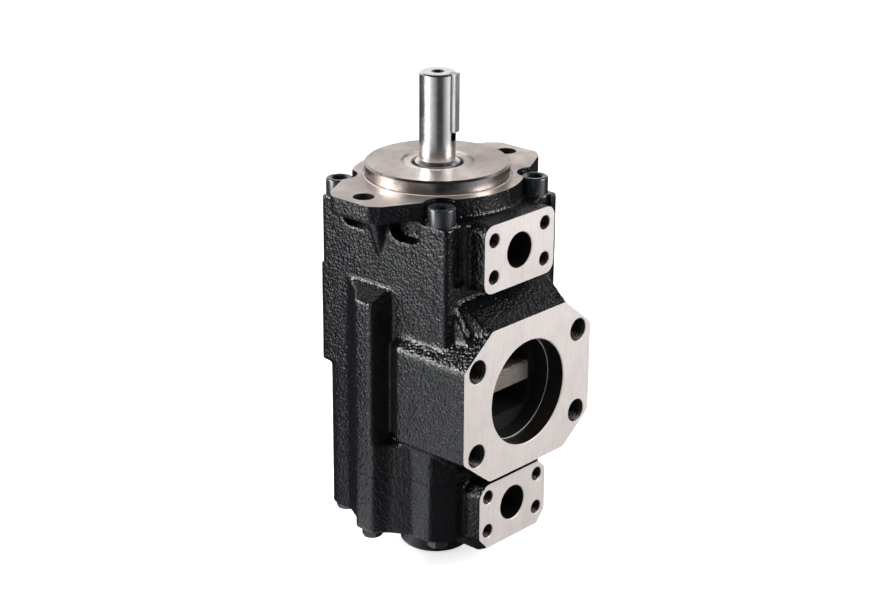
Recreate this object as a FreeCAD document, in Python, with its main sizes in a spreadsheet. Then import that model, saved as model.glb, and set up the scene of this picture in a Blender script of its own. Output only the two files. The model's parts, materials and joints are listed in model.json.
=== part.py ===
import FreeCAD, Part

import math
import os

import Sketcher

# Double vane pump with a two-bolt flange and three ports on one side.
# Millimetres. Z is the shaft axis, with z = 0 on the mounting face and the shaft pointing up.
# X runs from one mounting ear to the other, and the ports face -Y.

DIMENSIONS = [
    # Mounting flange
    ("pilot_radius", 50.8, "spigot that centres the pump"),
    ("pilot_height", 9.65, "spigot above the mounting face"),
    ("pilot_chamfer", 1.5, "lead-in of the spigot"),
    ("pilot_groove_wide", 1.6, "groove in the face at the spigot's foot"),
    ("pilot_groove_deep", 0.5, "its depth"),
    ("dish_radius", 25.5, "shallow recess round the shaft"),
    ("dish_deep", 1.2, "depth of that recess"),
    ("mouth_radius", 18.5, "opening that the shaft comes out of"),
    ("ear_thick", 12.7, "ears of the flange"),
    ("flange_thick", 15.5, "round part of the flange"),
    ("flange_radius", 60.0, "its radius"),
    ("ear_reach", 87.0, "shaft axis to the end of an ear"),
    ("ear_edge", 14.0, "an ear's hole to its end"),
    ("ear_hole_radius", 7.15, "bolt hole in an ear"),
    ("ear_end_half", 16.5, "half of the flat at an ear's end"),
    ("ear_corner_in", 6.5, "ear's end to its second corner"),
    ("ear_corner_half", 24.3, "half breadth at that corner"),
    ("ear_root_reach", 47.0, "shaft axis to the ear's root"),
    ("ear_root_half", 42.0, "half of the ear's breadth at its root"),
    ("ear_round", 6.0, "corner radius of an ear"),
    ("gusset_high", 33.0, "rib below an ear"),
    ("gusset_radius", 10.0, "its upper end"),
    ("gusset_tip", 1.6, "its lower end"),
    ("gusset_out", 4.0, "its upper end beyond the casting's side"),
    # Castings
    ("side_half", 58.0, "centre plane to the castings' side"),
    ("front_reach", 61.5, "axis to the castings' port side"),
    ("back_reach", 57.0, "axis to the front casting's back"),
    ("corner_round", 4.0, "corner radius of the upper castings"),
    ("split_front", 65.0, "joint of front and middle castings"),
    ("split_rear", 205.0, "joint of middle and rear castings"),
    ("cap_thick", 43.5, "rear casting between joint and screw face"),
    ("pad_proud", 2.0, "middle casting's upper back beyond the front casting"),
    ("pad_high", 73.0, "height of that raised part"),
    ("rear_front", 59.0, "axis to the rear castings' port side"),
    ("rear_back", 54.0, "axis to the rear castings' back"),
    ("rear_bevel", 12.0, "bevel of their front corners"),
    ("bevel_round", 5.0, "its corner radius"),
    ("lobe_round", 10.5, "corner radius round a rear back screw"),
    ("pocket_near", 9.5, "pocket below an ear, from the centre plane"),
    ("pocket_far", 36.0, "its other end"),
    ("pocket_low", 31.0, "mounting face to its floor"),
    ("pocket_deep", 10.5, "its depth from the side"),
    ("pocket_round", 8.0, "its corner radius"),
    ("flute_near", 38.5, "hollow in the front beside the port, from the centre plane"),
    ("flute_far", 50.0, "its other side"),
    ("flute_deep", 3.5, "its depth"),
    ("flute_low", 57.0, "mounting face to its lower end"),
    ("flute_round", 5.0, "its corner radius"),
    # Lobes round the rear side screws
    ("lobe_reach", 75.2, "axis to a side lobe's outer face"),
    ("lobe_foot", 31.0, "half of its breadth at the casting's side"),
    ("lobe_waist_out", 8.0, "casting's side to the lobe's bend"),
    ("lobe_waist_half", 16.0, "half of its breadth at that bend"),
    ("lobe_nose_half", 8.0, "half of its outer face"),
    ("lobe_step_half", 12.0, "steep front flank above the suction box"),
    ("lobe_hollow", 8.0, "radius of its concave bends"),
    ("lobe_edge", 4.0, "radius of its outer edges"),
    ("lobe_start", 3.0, "front joint to the lobe's upper end at the casting"),
    ("lobe_fall", 8.0, "drop of its sloping upper end"),
    ("lobe_overlap", 4.0, "how far the lobe reaches into the casting"),
    ("lobe_low", 25.0, "height of its even lower part above the rear joint"),
    # Rear end
    ("dome_radius", 50.0, "foot of the domed end"),
    ("dome_high", 19.5, "its height"),
    ("boss_radius", 26.0, "round boss that closes the shaft bore"),
    ("boss_high", 14.0, "its height"),
    ("boss_round", 2.0, "its edges"),
    # Ports
    ("port_1_drop", 38.1, "mounting face to the front pressure port"),
    ("suction_drop", 139.7, "mounting face to the suction port"),
    ("port_2_below", 23.6, "rear joint to the rear pressure port"),
    ("port_1_face", 76.2, "axis to the front pressure port's face"),
    ("suction_face", 86.4, "axis to the suction port's face"),
    ("port_2_face", 73.9, "axis to the rear pressure port's face"),
    ("pressure_bore", 12.7, "radius of a pressure port"),
    ("pressure_long", 26.2, "half of its screw pattern along X"),
    ("pressure_short", 13.1, "half of its screw pattern along Z"),
    ("pressure_thread", 4.76, "radius of its screw threads"),
    ("pressure_tap_deep", 22.0, "depth of those threads"),
    ("suction_bore", 38.1, "radius of the suction port"),
    ("suction_long", 53.2, "half of its screw pattern along X"),
    ("suction_short", 30.95, "half of its screw pattern along Z"),
    ("suction_thread", 7.94, "radius of its screw threads"),
    ("suction_tap_deep", 27.0, "depth of those threads"),
    ("tap_sink", 0.8, "countersink of the port threads"),
    ("pad_edge", 9.8, "screw centre to the side of the front pressure pad"),
    ("pad_edge_high", 11.1, "screw centre to its upper and lower edge"),
    ("pad_round", 8.0, "corner radius of that pad"),
    ("block_half", 37.0, "half width of the rear pressure block"),
    ("block_low", 30.4, "port centre to the block's lower side"),
    ("block_step", 7.4, "face to the block's full section"),
    ("block_bevel_in", 9.0, "bevel of the block's lower edges along X"),
    ("block_bevel_high", 13.0, "the same along Z"),
    ("face_half", 34.5, "half width of the rear pressure face"),
    ("face_low", 24.7, "port centre to the face's lower edge"),
    ("face_high", 22.8, "port centre to its upper edge"),
    ("face_bevel", 7.0, "cut corners of that face"),
    ("suction_box_half", 67.0, "half width of the suction box"),
    ("suction_box_high", 55.0, "half height of the suction box"),
    ("suction_flat_wide", 39.6, "half of the flat edge above the port"),
    ("suction_flat_high", 33.5, "half of the flat edge beside the port"),
    ("box_round", 5.0, "corner radius of the suction box"),
    ("box_shoulder", 24.0, "axis to the full section of the suction box"),
    ("box_back", 10.0, "axis to its back end"),
    ("box_back_half", 59.0, "half width of its back end"),
    ("wedge_half", 46.0, "half width of the slope above the box, at the joint"),
    ("wedge_foot_half", 50.0, "half width of its foot"),
    ("wedge_high", 28.0, "height of the slope at the casting"),
    ("web_thick", 4.5, "rib beside the slope"),
    ("web_top", 6.0, "joint to the rib's upper end"),
    ("web_high", 26.0, "height of the rib"),
    ("web_out", 16.0, "reach of the rib"),
    ("suction_bore_deep", 26.0, "depth of the machined suction bore"),
    ("throat_half", 30.0, "half width of the cast suction throat"),
    ("throat_high", 24.5, "half height of the cast suction throat"),
    ("throat_end", 18.0, "axis to the end of the throat"),
    ("throat_round", 8.0, "corner radius of the throat"),
    ("bridge_high", 7.5, "half height of the bar across the throat"),
    ("bridge_thick", 12.0, "thickness of that bar"),
    # Bores inside the castings
    ("ring_bore", 41.35, "bore that holds a pumping cartridge"),
    ("chamber_radius", 37.0, "pressure chambers and suction chamber"),
    ("bore_1_deep", 47.0, "front joint to the step below the front cartridge"),
    ("bore_2_deep", 37.6, "rear joint to the step above the rear cartridge"),
    ("rim_room", 1.0, "free room behind a port plate's rim"),
    ("hub_bore", 20.05, "bore that a port plate's hub enters"),
    ("hub_wall", 6.5, "wall between bearing and front pressure chamber"),
    ("hub_room", 0.6, "free room behind a port plate's hub"),
    ("floor_thick", 6.5, "rear pressure chamber to the screw face"),
    ("hub_2_deep", 8.0, "depth of the rear hub bore"),
    ("tail_room", 2.0, "free room below the shaft"),
    ("seal_groove_in", 44.2, "inner radius of a joint's ring groove"),
    ("seal_groove_wide", 3.0, "its width"),
    ("seal_cord", 2.0, "thickness of a sealing ring"),
    # Joint screws
    ("front_screw_edge", 10.1, "front screw to the castings' side"),
    ("front_screw_seat", 15.0, "mounting face to the seat of its head"),
    ("front_screw_radius", 6.35, "its thread"),
    ("front_head_radius", 9.525, "its head"),
    ("front_head_high", 12.7, "height of its head"),
    ("front_socket", 5.5, "corner radius of its hexagon socket"),
    ("front_screw_long", 80.0, "length below its head"),
    ("front_notch", 12.5, "radius of the notch round its head"),
    ("screw_clear", 0.4, "clearance of a screw in its plain hole"),
    ("tap_room", 4.0, "thread beyond a screw's end"),
    ("rear_screw_edge", 11.0, "rear corner screw to the castings' side"),
    ("rear_screw_back", 8.5, "rear back screw to the castings' back"),
    ("rear_screw_front", 13.5, "rear front screw to the castings' front"),
    ("side_screw_edge", 8.5, "rear side screw to its lobe's outer face"),
    ("rear_screw_radius", 4.0, "thread of a rear screw"),
    ("rear_head_flats", 13.0, "width of its hexagon"),
    ("rear_head_high", 6.4, "height of its head"),
    ("rear_screw_long", 66.0, "length below its head"),
    # Shaft
    ("shaft_end", 72.7, "top of the shaft"),
    ("shaft_radius", 12.7, "keyed end"),
    ("shaft_chamfer", 1.2, "its chamfer"),
    ("centre_radius", 4.75, "centre drilling in its top"),
    ("centre_rim", 1.2, "depth of its first step"),
    ("centre_cone", 2.6, "depth of its cone"),
    ("centre_deep", 9.0, "depth of the drilling"),
    ("journal_radius", 15.75, "journal in the shaft seal"),
    ("journal_lip", 0.6, "spigot's top to the journal's shoulder"),
    ("journal_bevel", 1.0, "bevel of that shoulder"),
    ("bearing_bore", 15.0, "journal in the bearing"),
    ("spline_1", 14.0, "tooth tips of the front spline"),
    ("spline_2", 12.6, "tooth tips of the rear spline"),
    ("spline_deep", 1.2, "height of a tooth"),
    ("spline_play", 0.1, "clearance at the teeth's tips and roots"),
    ("rear_journal", 11.0, "journal in the rear bush"),
    ("key_wide", 6.35, "width and depth of the key"),
    ("key_top", 15.45, "axis to the key's outer face"),
    ("key_long", 41.0, "length of the key"),
    ("key_bevel", 0.4, "its edges"),
    ("keyway_beyond", 6.5, "keyway beyond the key"),
    ("key_turn", -75.0, "direction of the key, in degrees from +X"),
    # Bearing, seal, rings and bush
    ("bearing_drop", 2.0, "mounting face to the bearing"),
    ("bearing_wide", 16.0, "its width"),
    ("bearing_outer", 31.0, "its outer radius"),
    ("ball_circle", 23.0, "circle of the balls' centres"),
    ("ball_radius", 4.7, "ball"),
    ("race_play", 0.08, "clearance of a ball in its races"),
    ("race_land", 2.8, "ball circle to a ring's shoulder"),
    ("cage_thick", 1.8, "cage"),
    ("cage_rim", 1.0, "cage beyond the balls"),
    ("clip_thick", 1.6, "retaining rings"),
    ("clip_wide", 3.2, "their breadth"),
    ("clip_deep", 0.8, "depth of their grooves"),
    ("clip_play", 0.05, "retaining ring in its groove"),
    ("clip_gap", 6.0, "opening between a ring's ends"),
    ("clip_eye", 0.7, "holes in a ring's ends"),
    ("clip_eye_in", 1.6, "ring's end to that hole"),
    ("seal_outer", 23.5, "shaft seal's case"),
    ("seal_top", 6.5, "mounting face up to its upper face"),
    ("seal_wide", 8.0, "its width"),
    ("seal_wall", 1.6, "thickness of its case"),
    ("lip_room", 0.6, "seal's neck beside the lip"),
    ("bush_outer", 14.0, "rear bush"),
    ("bush_long", 16.0, "its length"),
    ("running_play", 0.05, "radial clearance of what turns or slides"),
    # Pumping cartridges
    ("cam_minor", 30.7, "small radius of the cam"),
    ("cam_stroke", 4.0, "rise of the cam"),
    ("rotor_radius", 30.5, "rotor"),
    ("rotor_play", 0.03, "rotor to each plate"),
    ("ring_1_wide", 28.0, "front cam ring"),
    ("ring_2_wide", 22.0, "rear cam ring"),
    ("plate_thick", 12.0, "wear plates"),
    ("rim_thick", 14.0, "port plates' rim"),
    ("plate_bore", 15.3, "plates' bore round the shaft"),
    ("hub_radius", 20.0, "port plates' hub"),
    ("groove_high", 2.4, "port plates' ring grooves"),
    ("groove_below", 3.2, "plate's edge to a groove"),
    ("hub_groove_below", 2.0, "hub's edge to a groove"),
    ("vane_thick", 2.0, "vane"),
    ("vane_play", 0.03, "vane to each side of its slot"),
    ("vane_high", 11.5, "vane from foot to tip"),
    ("vane_below", 1.2, "room below a retracted vane"),
    ("vane_tip", 0.7, "height of a vane's tapered tip"),
    ("slot_foot", 1.5, "radius of the slot's round foot"),
    ("tie_circle", 36.0, "circle of the tie screws and dowels"),
    ("tie_radius", 2.5, "tie screws and dowels"),
    ("tie_head_radius", 4.25, "tie screw's head"),
    ("tie_head_high", 5.0, "its height"),
    ("tie_socket", 2.25, "corner radius of its hexagon socket"),
    ("tie_head_play", 0.2, "head in its counterbore"),
    ("tie_sunk", 0.5, "head below the plate's face"),
    ("tie_grip", 6.5, "tie screws and dowels in the port plate"),
    ("tie_room", 0.5, "free room beyond them"),
    ("window_inner", 31.0, "kidney windows, inner radius"),
    ("window_outer", 35.5, "kidney windows, outer radius"),
]

VANES = 10
SPLINE_TEETH = 24
BALLS = 9
CAM_POINTS = 40
SUCTION_ANGLE = 45.0
PRESSURE_ANGLE = 135.0
TIE_SCREWS = (0.0, 180.0)
DOWELS = (14.0, 194.0)
SIDES = (-1, 1)
CORNERS = [(across, along) for across in SIDES for along in SIDES]
DOWN = FreeCAD.Rotation(FreeCAD.Vector(1, 0, 0), 180)


def text_of(size):
    return size.text if isinstance(size, Size) else repr(float(size))


def value_of(size):
    return size.value if isinstance(size, Size) else float(size)


class Size:
    """A length that carries its value and the sheet expression behind it."""

    def __init__(self, text, value):
        self.text = text
        self.value = value

    def __add__(self, other):
        return Size(f"({self.text} + {text_of(other)})", self.value + value_of(other))

    def __radd__(self, other):
        return Size(f"({text_of(other)} + {self.text})", value_of(other) + self.value)

    def __sub__(self, other):
        return Size(f"({self.text} - {text_of(other)})", self.value - value_of(other))

    def __rsub__(self, other):
        return Size(f"({text_of(other)} - {self.text})", value_of(other) - self.value)

    def __mul__(self, factor):
        return Size(f"({self.text} * {factor!r})", self.value * factor)

    __rmul__ = __mul__

    def __truediv__(self, factor):
        return Size(f"({self.text} / {factor!r})", self.value / factor)

    def __neg__(self):
        return Size(f"(0 - {self.text})", -self.value)


class Sheet:
    """The driving dimensions, each readable as an attribute."""

    def __init__(self, document):
        sheet = document.addObject("Spreadsheet::Sheet", "Dims")
        for row, (alias, value, note) in enumerate(DIMENSIONS, start=1):
            sheet.set(f"A{row}", alias)
            sheet.set(f"B{row}", str(value))
            sheet.setAlias(f"B{row}", alias)
            sheet.set(f"C{row}", note)
            setattr(self, alias, Size(f"Dims.{alias}", float(value)))
        document.recompute()


DOC = FreeCAD.newDocument("vane_pump")
D = Sheet(DOC)
PIECES = []


# Helpers for PartDesign bodies

def bind(thing, **sizes):
    """Tie properties to the sheet; a double underscore stands for a dot."""
    for path, size in sizes.items():
        thing.setExpression(path.replace("__", "."), text_of(size))


def new_body(label):
    body = DOC.addObject("PartDesign::Body", label)
    body.Label = label
    PIECES.append(body)
    return body


def origin_part(body, role):
    return next(item for item in body.Origin.OriginFeatures if item.Role == role)


def new_sketch(body, role, offset=0.0):
    """Sketch on XY (up +Z), XZ (seen from -Y) or YZ, moved along the plane's normal."""
    sketch = body.newObject("Sketcher::SketchObject", "sketch")
    sketch.AttachmentSupport = (origin_part(body, role + "_Plane"), "")
    sketch.MapMode = "FlatFace"
    bind(sketch, AttachmentOffset__Base__z=offset)
    return sketch


def hold(sketch, geometry, point, x, y):
    """Fix a point of the sketch by its two coordinates."""
    for kind, size in (("DistanceX", x), ("DistanceY", y)):
        constraint = Sketcher.Constraint(kind, -1, 1, geometry, point, value_of(size))
        index = sketch.addConstraint(constraint)
        if isinstance(size, Size):
            sketch.setExpression(f"Constraints[{index}]", size.text)


def spin(sketch, angle):
    """Turn a sketch about the Z axis by an angle in degrees."""
    upright = abs(sketch.Placement.Rotation.multVec(FreeCAD.Vector(0, 1, 0)).z) > 0.5
    axis = FreeCAD.Vector(0, 1, 0) if upright else FreeCAD.Vector(0, 0, 1)
    rotation = FreeCAD.Rotation(axis, value_of(angle))
    sketch.AttachmentOffset = FreeCAD.Placement(sketch.AttachmentOffset.Base, rotation)
    if isinstance(angle, Size):
        sketch.setExpression("AttachmentOffset.Rotation.Angle", angle.text)
    return sketch


def outline(sketch, points, rounds=None):
    """Closed run of straight edges; rounds maps a corner's index to its radius."""
    first = sketch.GeometryCount
    corners = [FreeCAD.Vector(value_of(x), value_of(y), 0) for x, y in points]
    for start, end in zip(corners, corners[1:] + corners[:1]):
        sketch.addGeometry(Part.LineSegment(start, end))
    for index, (x, y) in enumerate(points):
        before = first + (index - 1) % len(points)
        sketch.addConstraint(Sketcher.Constraint("Coincident", before, 2, first + index, 1))
        hold(sketch, first + index, 1, x, y)
    for index, radius in (rounds or {}).items():
        arc = sketch.GeometryCount
        sketch.fillet(first + index, 1, value_of(radius), True, True)
        held = sketch.addConstraint(Sketcher.Constraint("Radius", arc, value_of(radius)))
        if isinstance(radius, Size):
            sketch.setExpression(f"Constraints[{held}]", radius.text)


def rectangle(sketch, left, low, right, high, radius=None):
    points = [(left, low), (right, low), (right, high), (left, high)]
    outline(sketch, points, {} if radius is None else dict.fromkeys(range(4), radius))


def circle(sketch, x, y, radius):
    centre = FreeCAD.Vector(value_of(x), value_of(y), 0)
    index = sketch.addGeometry(Part.Circle(centre, FreeCAD.Vector(0, 0, 1), value_of(radius)))
    hold(sketch, index, 3, x, y)
    held = sketch.addConstraint(Sketcher.Constraint("Radius", index, value_of(radius)))
    if isinstance(radius, Size):
        sketch.setExpression(f"Constraints[{held}]", radius.text)


def pad(body, sketch, length, turned=False, both_ways=False):
    feature = body.newObject("PartDesign::Pad", "pad")
    feature.Profile = sketch
    feature.Reversed = turned
    feature.Midplane = both_ways
    bind(feature, Length=length)
    return feature


def pocket(body, sketch, length, turned=False):
    """Cut against the sketch's normal, or along it when turned."""
    feature = body.newObject("PartDesign::Pocket", "pocket")
    feature.Profile = sketch
    feature.Reversed = turned
    bind(feature, Length=length)
    return feature


def turn(body, points, cut=False, rounds=None):
    """Revolve a half section given as radius and height about the Z axis."""
    sketch = new_sketch(body, "XZ")
    outline(sketch, points, rounds)
    kind = "PartDesign::Groove" if cut else "PartDesign::Revolution"
    feature = body.newObject(kind, "turned")
    feature.Profile = sketch
    feature.ReferenceAxis = (sketch, ["V_Axis"])
    feature.Angle = 360
    return feature


def loft(body, lower, upper):
    feature = body.newObject("PartDesign::AdditiveLoft", "loft")
    feature.Profile = lower
    feature.Sections = [upper]
    return feature


def repeat(body, features, count):
    """Copy features round the Z axis."""
    pattern = body.newObject("PartDesign::PolarPattern", "pattern")
    pattern.Originals = features
    pattern.Axis = (origin_part(body, "Z_Axis"), [""])
    pattern.Angle = 360
    pattern.Occurrences = count
    body.Tip = pattern
    return pattern


def bevel(body, feature, size, wanted):
    """Bevel the edges of the last feature that the test picks."""
    DOC.recompute()
    shape = feature.Shape
    names = [f"Edge{i}" for i, edge in enumerate(shape.Edges, start=1) if wanted(edge)]
    edge_cut = body.newObject("PartDesign::Chamfer", "bevel")
    edge_cut.Base = (feature, names)
    bind(edge_cut, Size=size)
    return edge_cut


def is_ring(edge, radius, **place):
    """True for a full circle of this radius whose centre has the given coordinates."""
    if edge.Degenerated:
        return False
    curve = edge.Curve
    if curve.TypeId != "Part::GeomCircle" or abs(curve.Radius - value_of(radius)) > 1e-4:
        return False
    return all(abs(getattr(curve.Center, axis) - value_of(at)) < 1e-4 for axis, at in place.items())


# Helpers for Part primitives

def part_object(kind, name, **sizes):
    thing = DOC.addObject(kind, name)
    bind(thing, **sizes)
    return thing


def combine(kind, name, base, tool):
    result = DOC.addObject(kind, name)
    result.Base = base
    result.Tool = tool
    return result


def group(label, solids):
    compound = DOC.addObject("Part::Compound", label)
    compound.Label = label
    compound.Links = solids
    PIECES.append(compound)
    return compound


def socket_screw(x, y, seat, head_radius, head_high, radius, long, socket, upward=True):
    """Cap screw with its head above the seat, or below it when it points up."""
    top = seat + head_high if upward else seat - head_high
    low = seat - long if upward else seat
    head_low = seat if upward else top
    head = part_object("Part::Cylinder", "head", Radius=head_radius, Height=head_high,
                       Placement__Base__x=x, Placement__Base__y=y, Placement__Base__z=head_low)
    shank = part_object("Part::Cylinder", "shank", Radius=radius, Height=long,
                        Placement__Base__x=x, Placement__Base__y=y, Placement__Base__z=low)
    deep = head_high * 0.55
    hexagon = part_object("Part::Prism", "socket", Circumradius=socket, Height=deep,
                          Placement__Base__x=x, Placement__Base__y=y,
                          Placement__Base__z=top - deep if upward else top)
    hexagon.Polygon = 6
    return combine("Part::Cut", "screw", combine("Part::Fuse", "blank", head, shank), hexagon)


def hex_screw(x, y, seat, flats, head_high, radius, long):
    """Hexagon screw that hangs head down below its seat."""
    corner = flats / math.sqrt(3)
    head = part_object("Part::Prism", "head", Circumradius=corner, Height=head_high,
                       Placement__Base__x=x, Placement__Base__y=y,
                       Placement__Base__z=seat - head_high)
    head.Polygon = 6
    crown = part_object("Part::Cone", "crown", Radius1=corner * 0.87, Radius2=corner * 2.3,
                        Height=head_high, Placement__Base__x=x, Placement__Base__y=y,
                        Placement__Base__z=seat - head_high)
    shank = part_object("Part::Cylinder", "shank", Radius=radius, Height=long,
                        Placement__Base__x=x, Placement__Base__y=y, Placement__Base__z=seat)
    return combine("Part::Fuse", "screw", combine("Part::Common", "crowned", head, crown), shank)


def ring_seal(label, radius, height):
    """Sealing ring with an eight-sided section."""
    half = D.seal_cord / 2
    flat = half * (math.sqrt(2) - 1)
    right = [(radius + flat, height - half), (radius + half, height - flat),
             (radius + half, height + flat), (radius + flat, height + half)]
    left = [(radius - flat, height + half), (radius - half, height + flat),
            (radius - half, height - flat), (radius - flat, height - half)]
    turn(new_body(label), right + left)


# Heights along the axis, counted from the mounting face

FRONT_JOINT = -D.split_front
REAR_JOINT = -D.split_rear
CAP_FACE = REAR_JOINT - D.cap_thick
BEARING_TOP = -D.bearing_drop
BEARING_LOW = BEARING_TOP - D.bearing_wide
CLIP_LOW = BEARING_LOW - D.clip_thick - D.clip_play * 2.0
CHAMBER_1_TOP = CLIP_LOW - D.clip_deep - D.hub_wall
SEAT_1 = FRONT_JOINT - D.bore_1_deep
RIM_1_TOP = SEAT_1 + D.plate_thick + D.ring_1_wide + D.rim_thick
SEAT_2 = REAR_JOINT + D.bore_2_deep
RIM_2_LOW = SEAT_2 - D.plate_thick - D.ring_2_wide - D.rim_thick
CHAMBER_2_LOW = CAP_FACE + D.floor_thick
HUB_2_LOW = CHAMBER_2_LOW - D.hub_2_deep
BUSH_LOW = HUB_2_LOW - D.bush_long
DOME_LOW = CAP_FACE - D.dome_high
BOSS_LOW = DOME_LOW - D.boss_high
PORT_1 = -D.port_1_drop
SUCTION = -D.suction_drop
PORT_2 = REAR_JOINT - D.port_2_below

FRONT_SCREW = D.side_half - D.front_screw_edge
FRONT_SCREWS = [(across * FRONT_SCREW, along * FRONT_SCREW) for across, along in CORNERS]
REAR_SCREW_X = D.side_half - D.rear_screw_edge
REAR_SCREWS = [(across * REAR_SCREW_X, y) for across in SIDES
               for y in (D.rear_back - D.rear_screw_back, D.rear_screw_front - D.rear_front)]
REAR_SCREWS += [(across * (D.lobe_reach - D.side_screw_edge), 0.0) for across in SIDES]
EAR_HOLES = [(across * (D.ear_reach - D.ear_edge), 0.0) for across in SIDES]


# Castings

def screw_holes(sketch, places, radius):
    for x, y in places:
        circle(sketch, x, y, radius)


def port_threads(body, face, height, long, short, radius, deep):
    """Four screw threads round a port, each with a small countersink."""
    places = [(across * long, height + along * short) for across, along in CORNERS]
    sketch = new_sketch(body, "XZ", face)
    screw_holes(sketch, places, radius)
    holes = pocket(body, sketch, deep)
    bevel(body, holes, D.tap_sink, lambda edge: is_ring(edge, radius, y=-face))


def rear_block(body, low, high):
    """Straight part of the rear castings, with bevelled front corners."""
    side, front, back, cut = D.side_half, D.rear_front, D.rear_back, D.rear_bevel
    sketch = new_sketch(body, "XY", low)
    points = [(side, cut - front), (side, back), (-side, back), (-side, cut - front),
              (cut - side, -front), (side - cut, -front)]
    rounds = dict.fromkeys((0, 3, 4, 5), D.bevel_round)
    rounds.update(dict.fromkeys((1, 2), D.lobe_round))
    outline(sketch, points, rounds)
    pad(body, sketch, high - low)


def side_lobes(body, low, high, steep_front):
    """Lobes round the side screws; a steep front flank leaves room beside the suction box."""
    root, waist = D.side_half - D.lobe_overlap, D.side_half + D.lobe_waist_out
    back = [(root, D.lobe_foot + D.lobe_overlap), (D.side_half, D.lobe_foot),
            (waist, D.lobe_waist_half), (D.lobe_reach, D.lobe_nose_half)]
    front = [(x, -y) for x, y in reversed(back)]
    if steep_front:
        front = [(D.lobe_reach, -D.lobe_nose_half), (D.side_half, -D.lobe_step_half),
                 (root, -D.lobe_step_half)]
    points = back + front
    bends = {2: D.lobe_hollow, 3: D.lobe_edge, 4: D.lobe_edge}
    if not steep_front:
        bends[5] = D.lobe_hollow
    for across in SIDES:
        sketch = new_sketch(body, "XY", low)
        outline(sketch, [(across * x, y) for x, y in points], bends)
        pad(body, sketch, high - low)


def section(body, reach, points):
    """Upright profile at a distance towards the ports, for a loft."""
    sketch = new_sketch(body, "XZ", reach)
    outline(sketch, points)
    return sketch


def mirrored(points):
    """Add the other half of an outline that is the same on both sides of the centre plane."""
    return points + [(-x, y) for x, y in reversed(points)]


def flange(body):
    """Round flange with two ears, ribs below the ears and the spigot."""
    ears = new_sketch(body, "XY", -D.ear_thick)
    corner = D.ear_reach - D.ear_corner_in
    upper = [(D.ear_reach, D.ear_end_half), (corner, D.ear_corner_half),
             (D.ear_root_reach, D.ear_root_half)]
    right = [(x, -y) for x, y in reversed(upper)] + upper
    outline(ears, right + [(-x, -y) for x, y in right],
            dict.fromkeys((1, 2, 3, 4, 7, 8, 9, 10), D.ear_round))
    pad(body, ears, D.ear_thick)
    disc = new_sketch(body, "XY", -D.flange_thick)
    circle(disc, 0.0, 0.0, D.flange_radius)
    pad(body, disc, D.flange_thick)
    for across in SIDES:
        foot = new_sketch(body, "XY", -D.ear_thick - D.gusset_high)
        circle(foot, across * (D.side_half - D.gusset_tip + 0.2), 0.0, D.gusset_tip)
        head = new_sketch(body, "XY", -D.ear_thick + 1.0)
        circle(head, across * (D.side_half + D.gusset_out), 0.0, D.gusset_radius)
        loft(body, foot, head)
    top = D.pilot_height
    turn(body, [(0.0, -1.0), (D.pilot_radius, -1.0), (D.pilot_radius, top - D.pilot_chamfer),
                (D.pilot_radius - D.pilot_chamfer, top), (0.0, top)])
    turn(body, [(D.pilot_radius, -D.pilot_groove_deep),
                (D.pilot_radius + D.pilot_groove_wide, -D.pilot_groove_deep),
                (D.pilot_radius + D.pilot_groove_wide, 1.0), (D.pilot_radius, 1.0)], cut=True)


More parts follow.
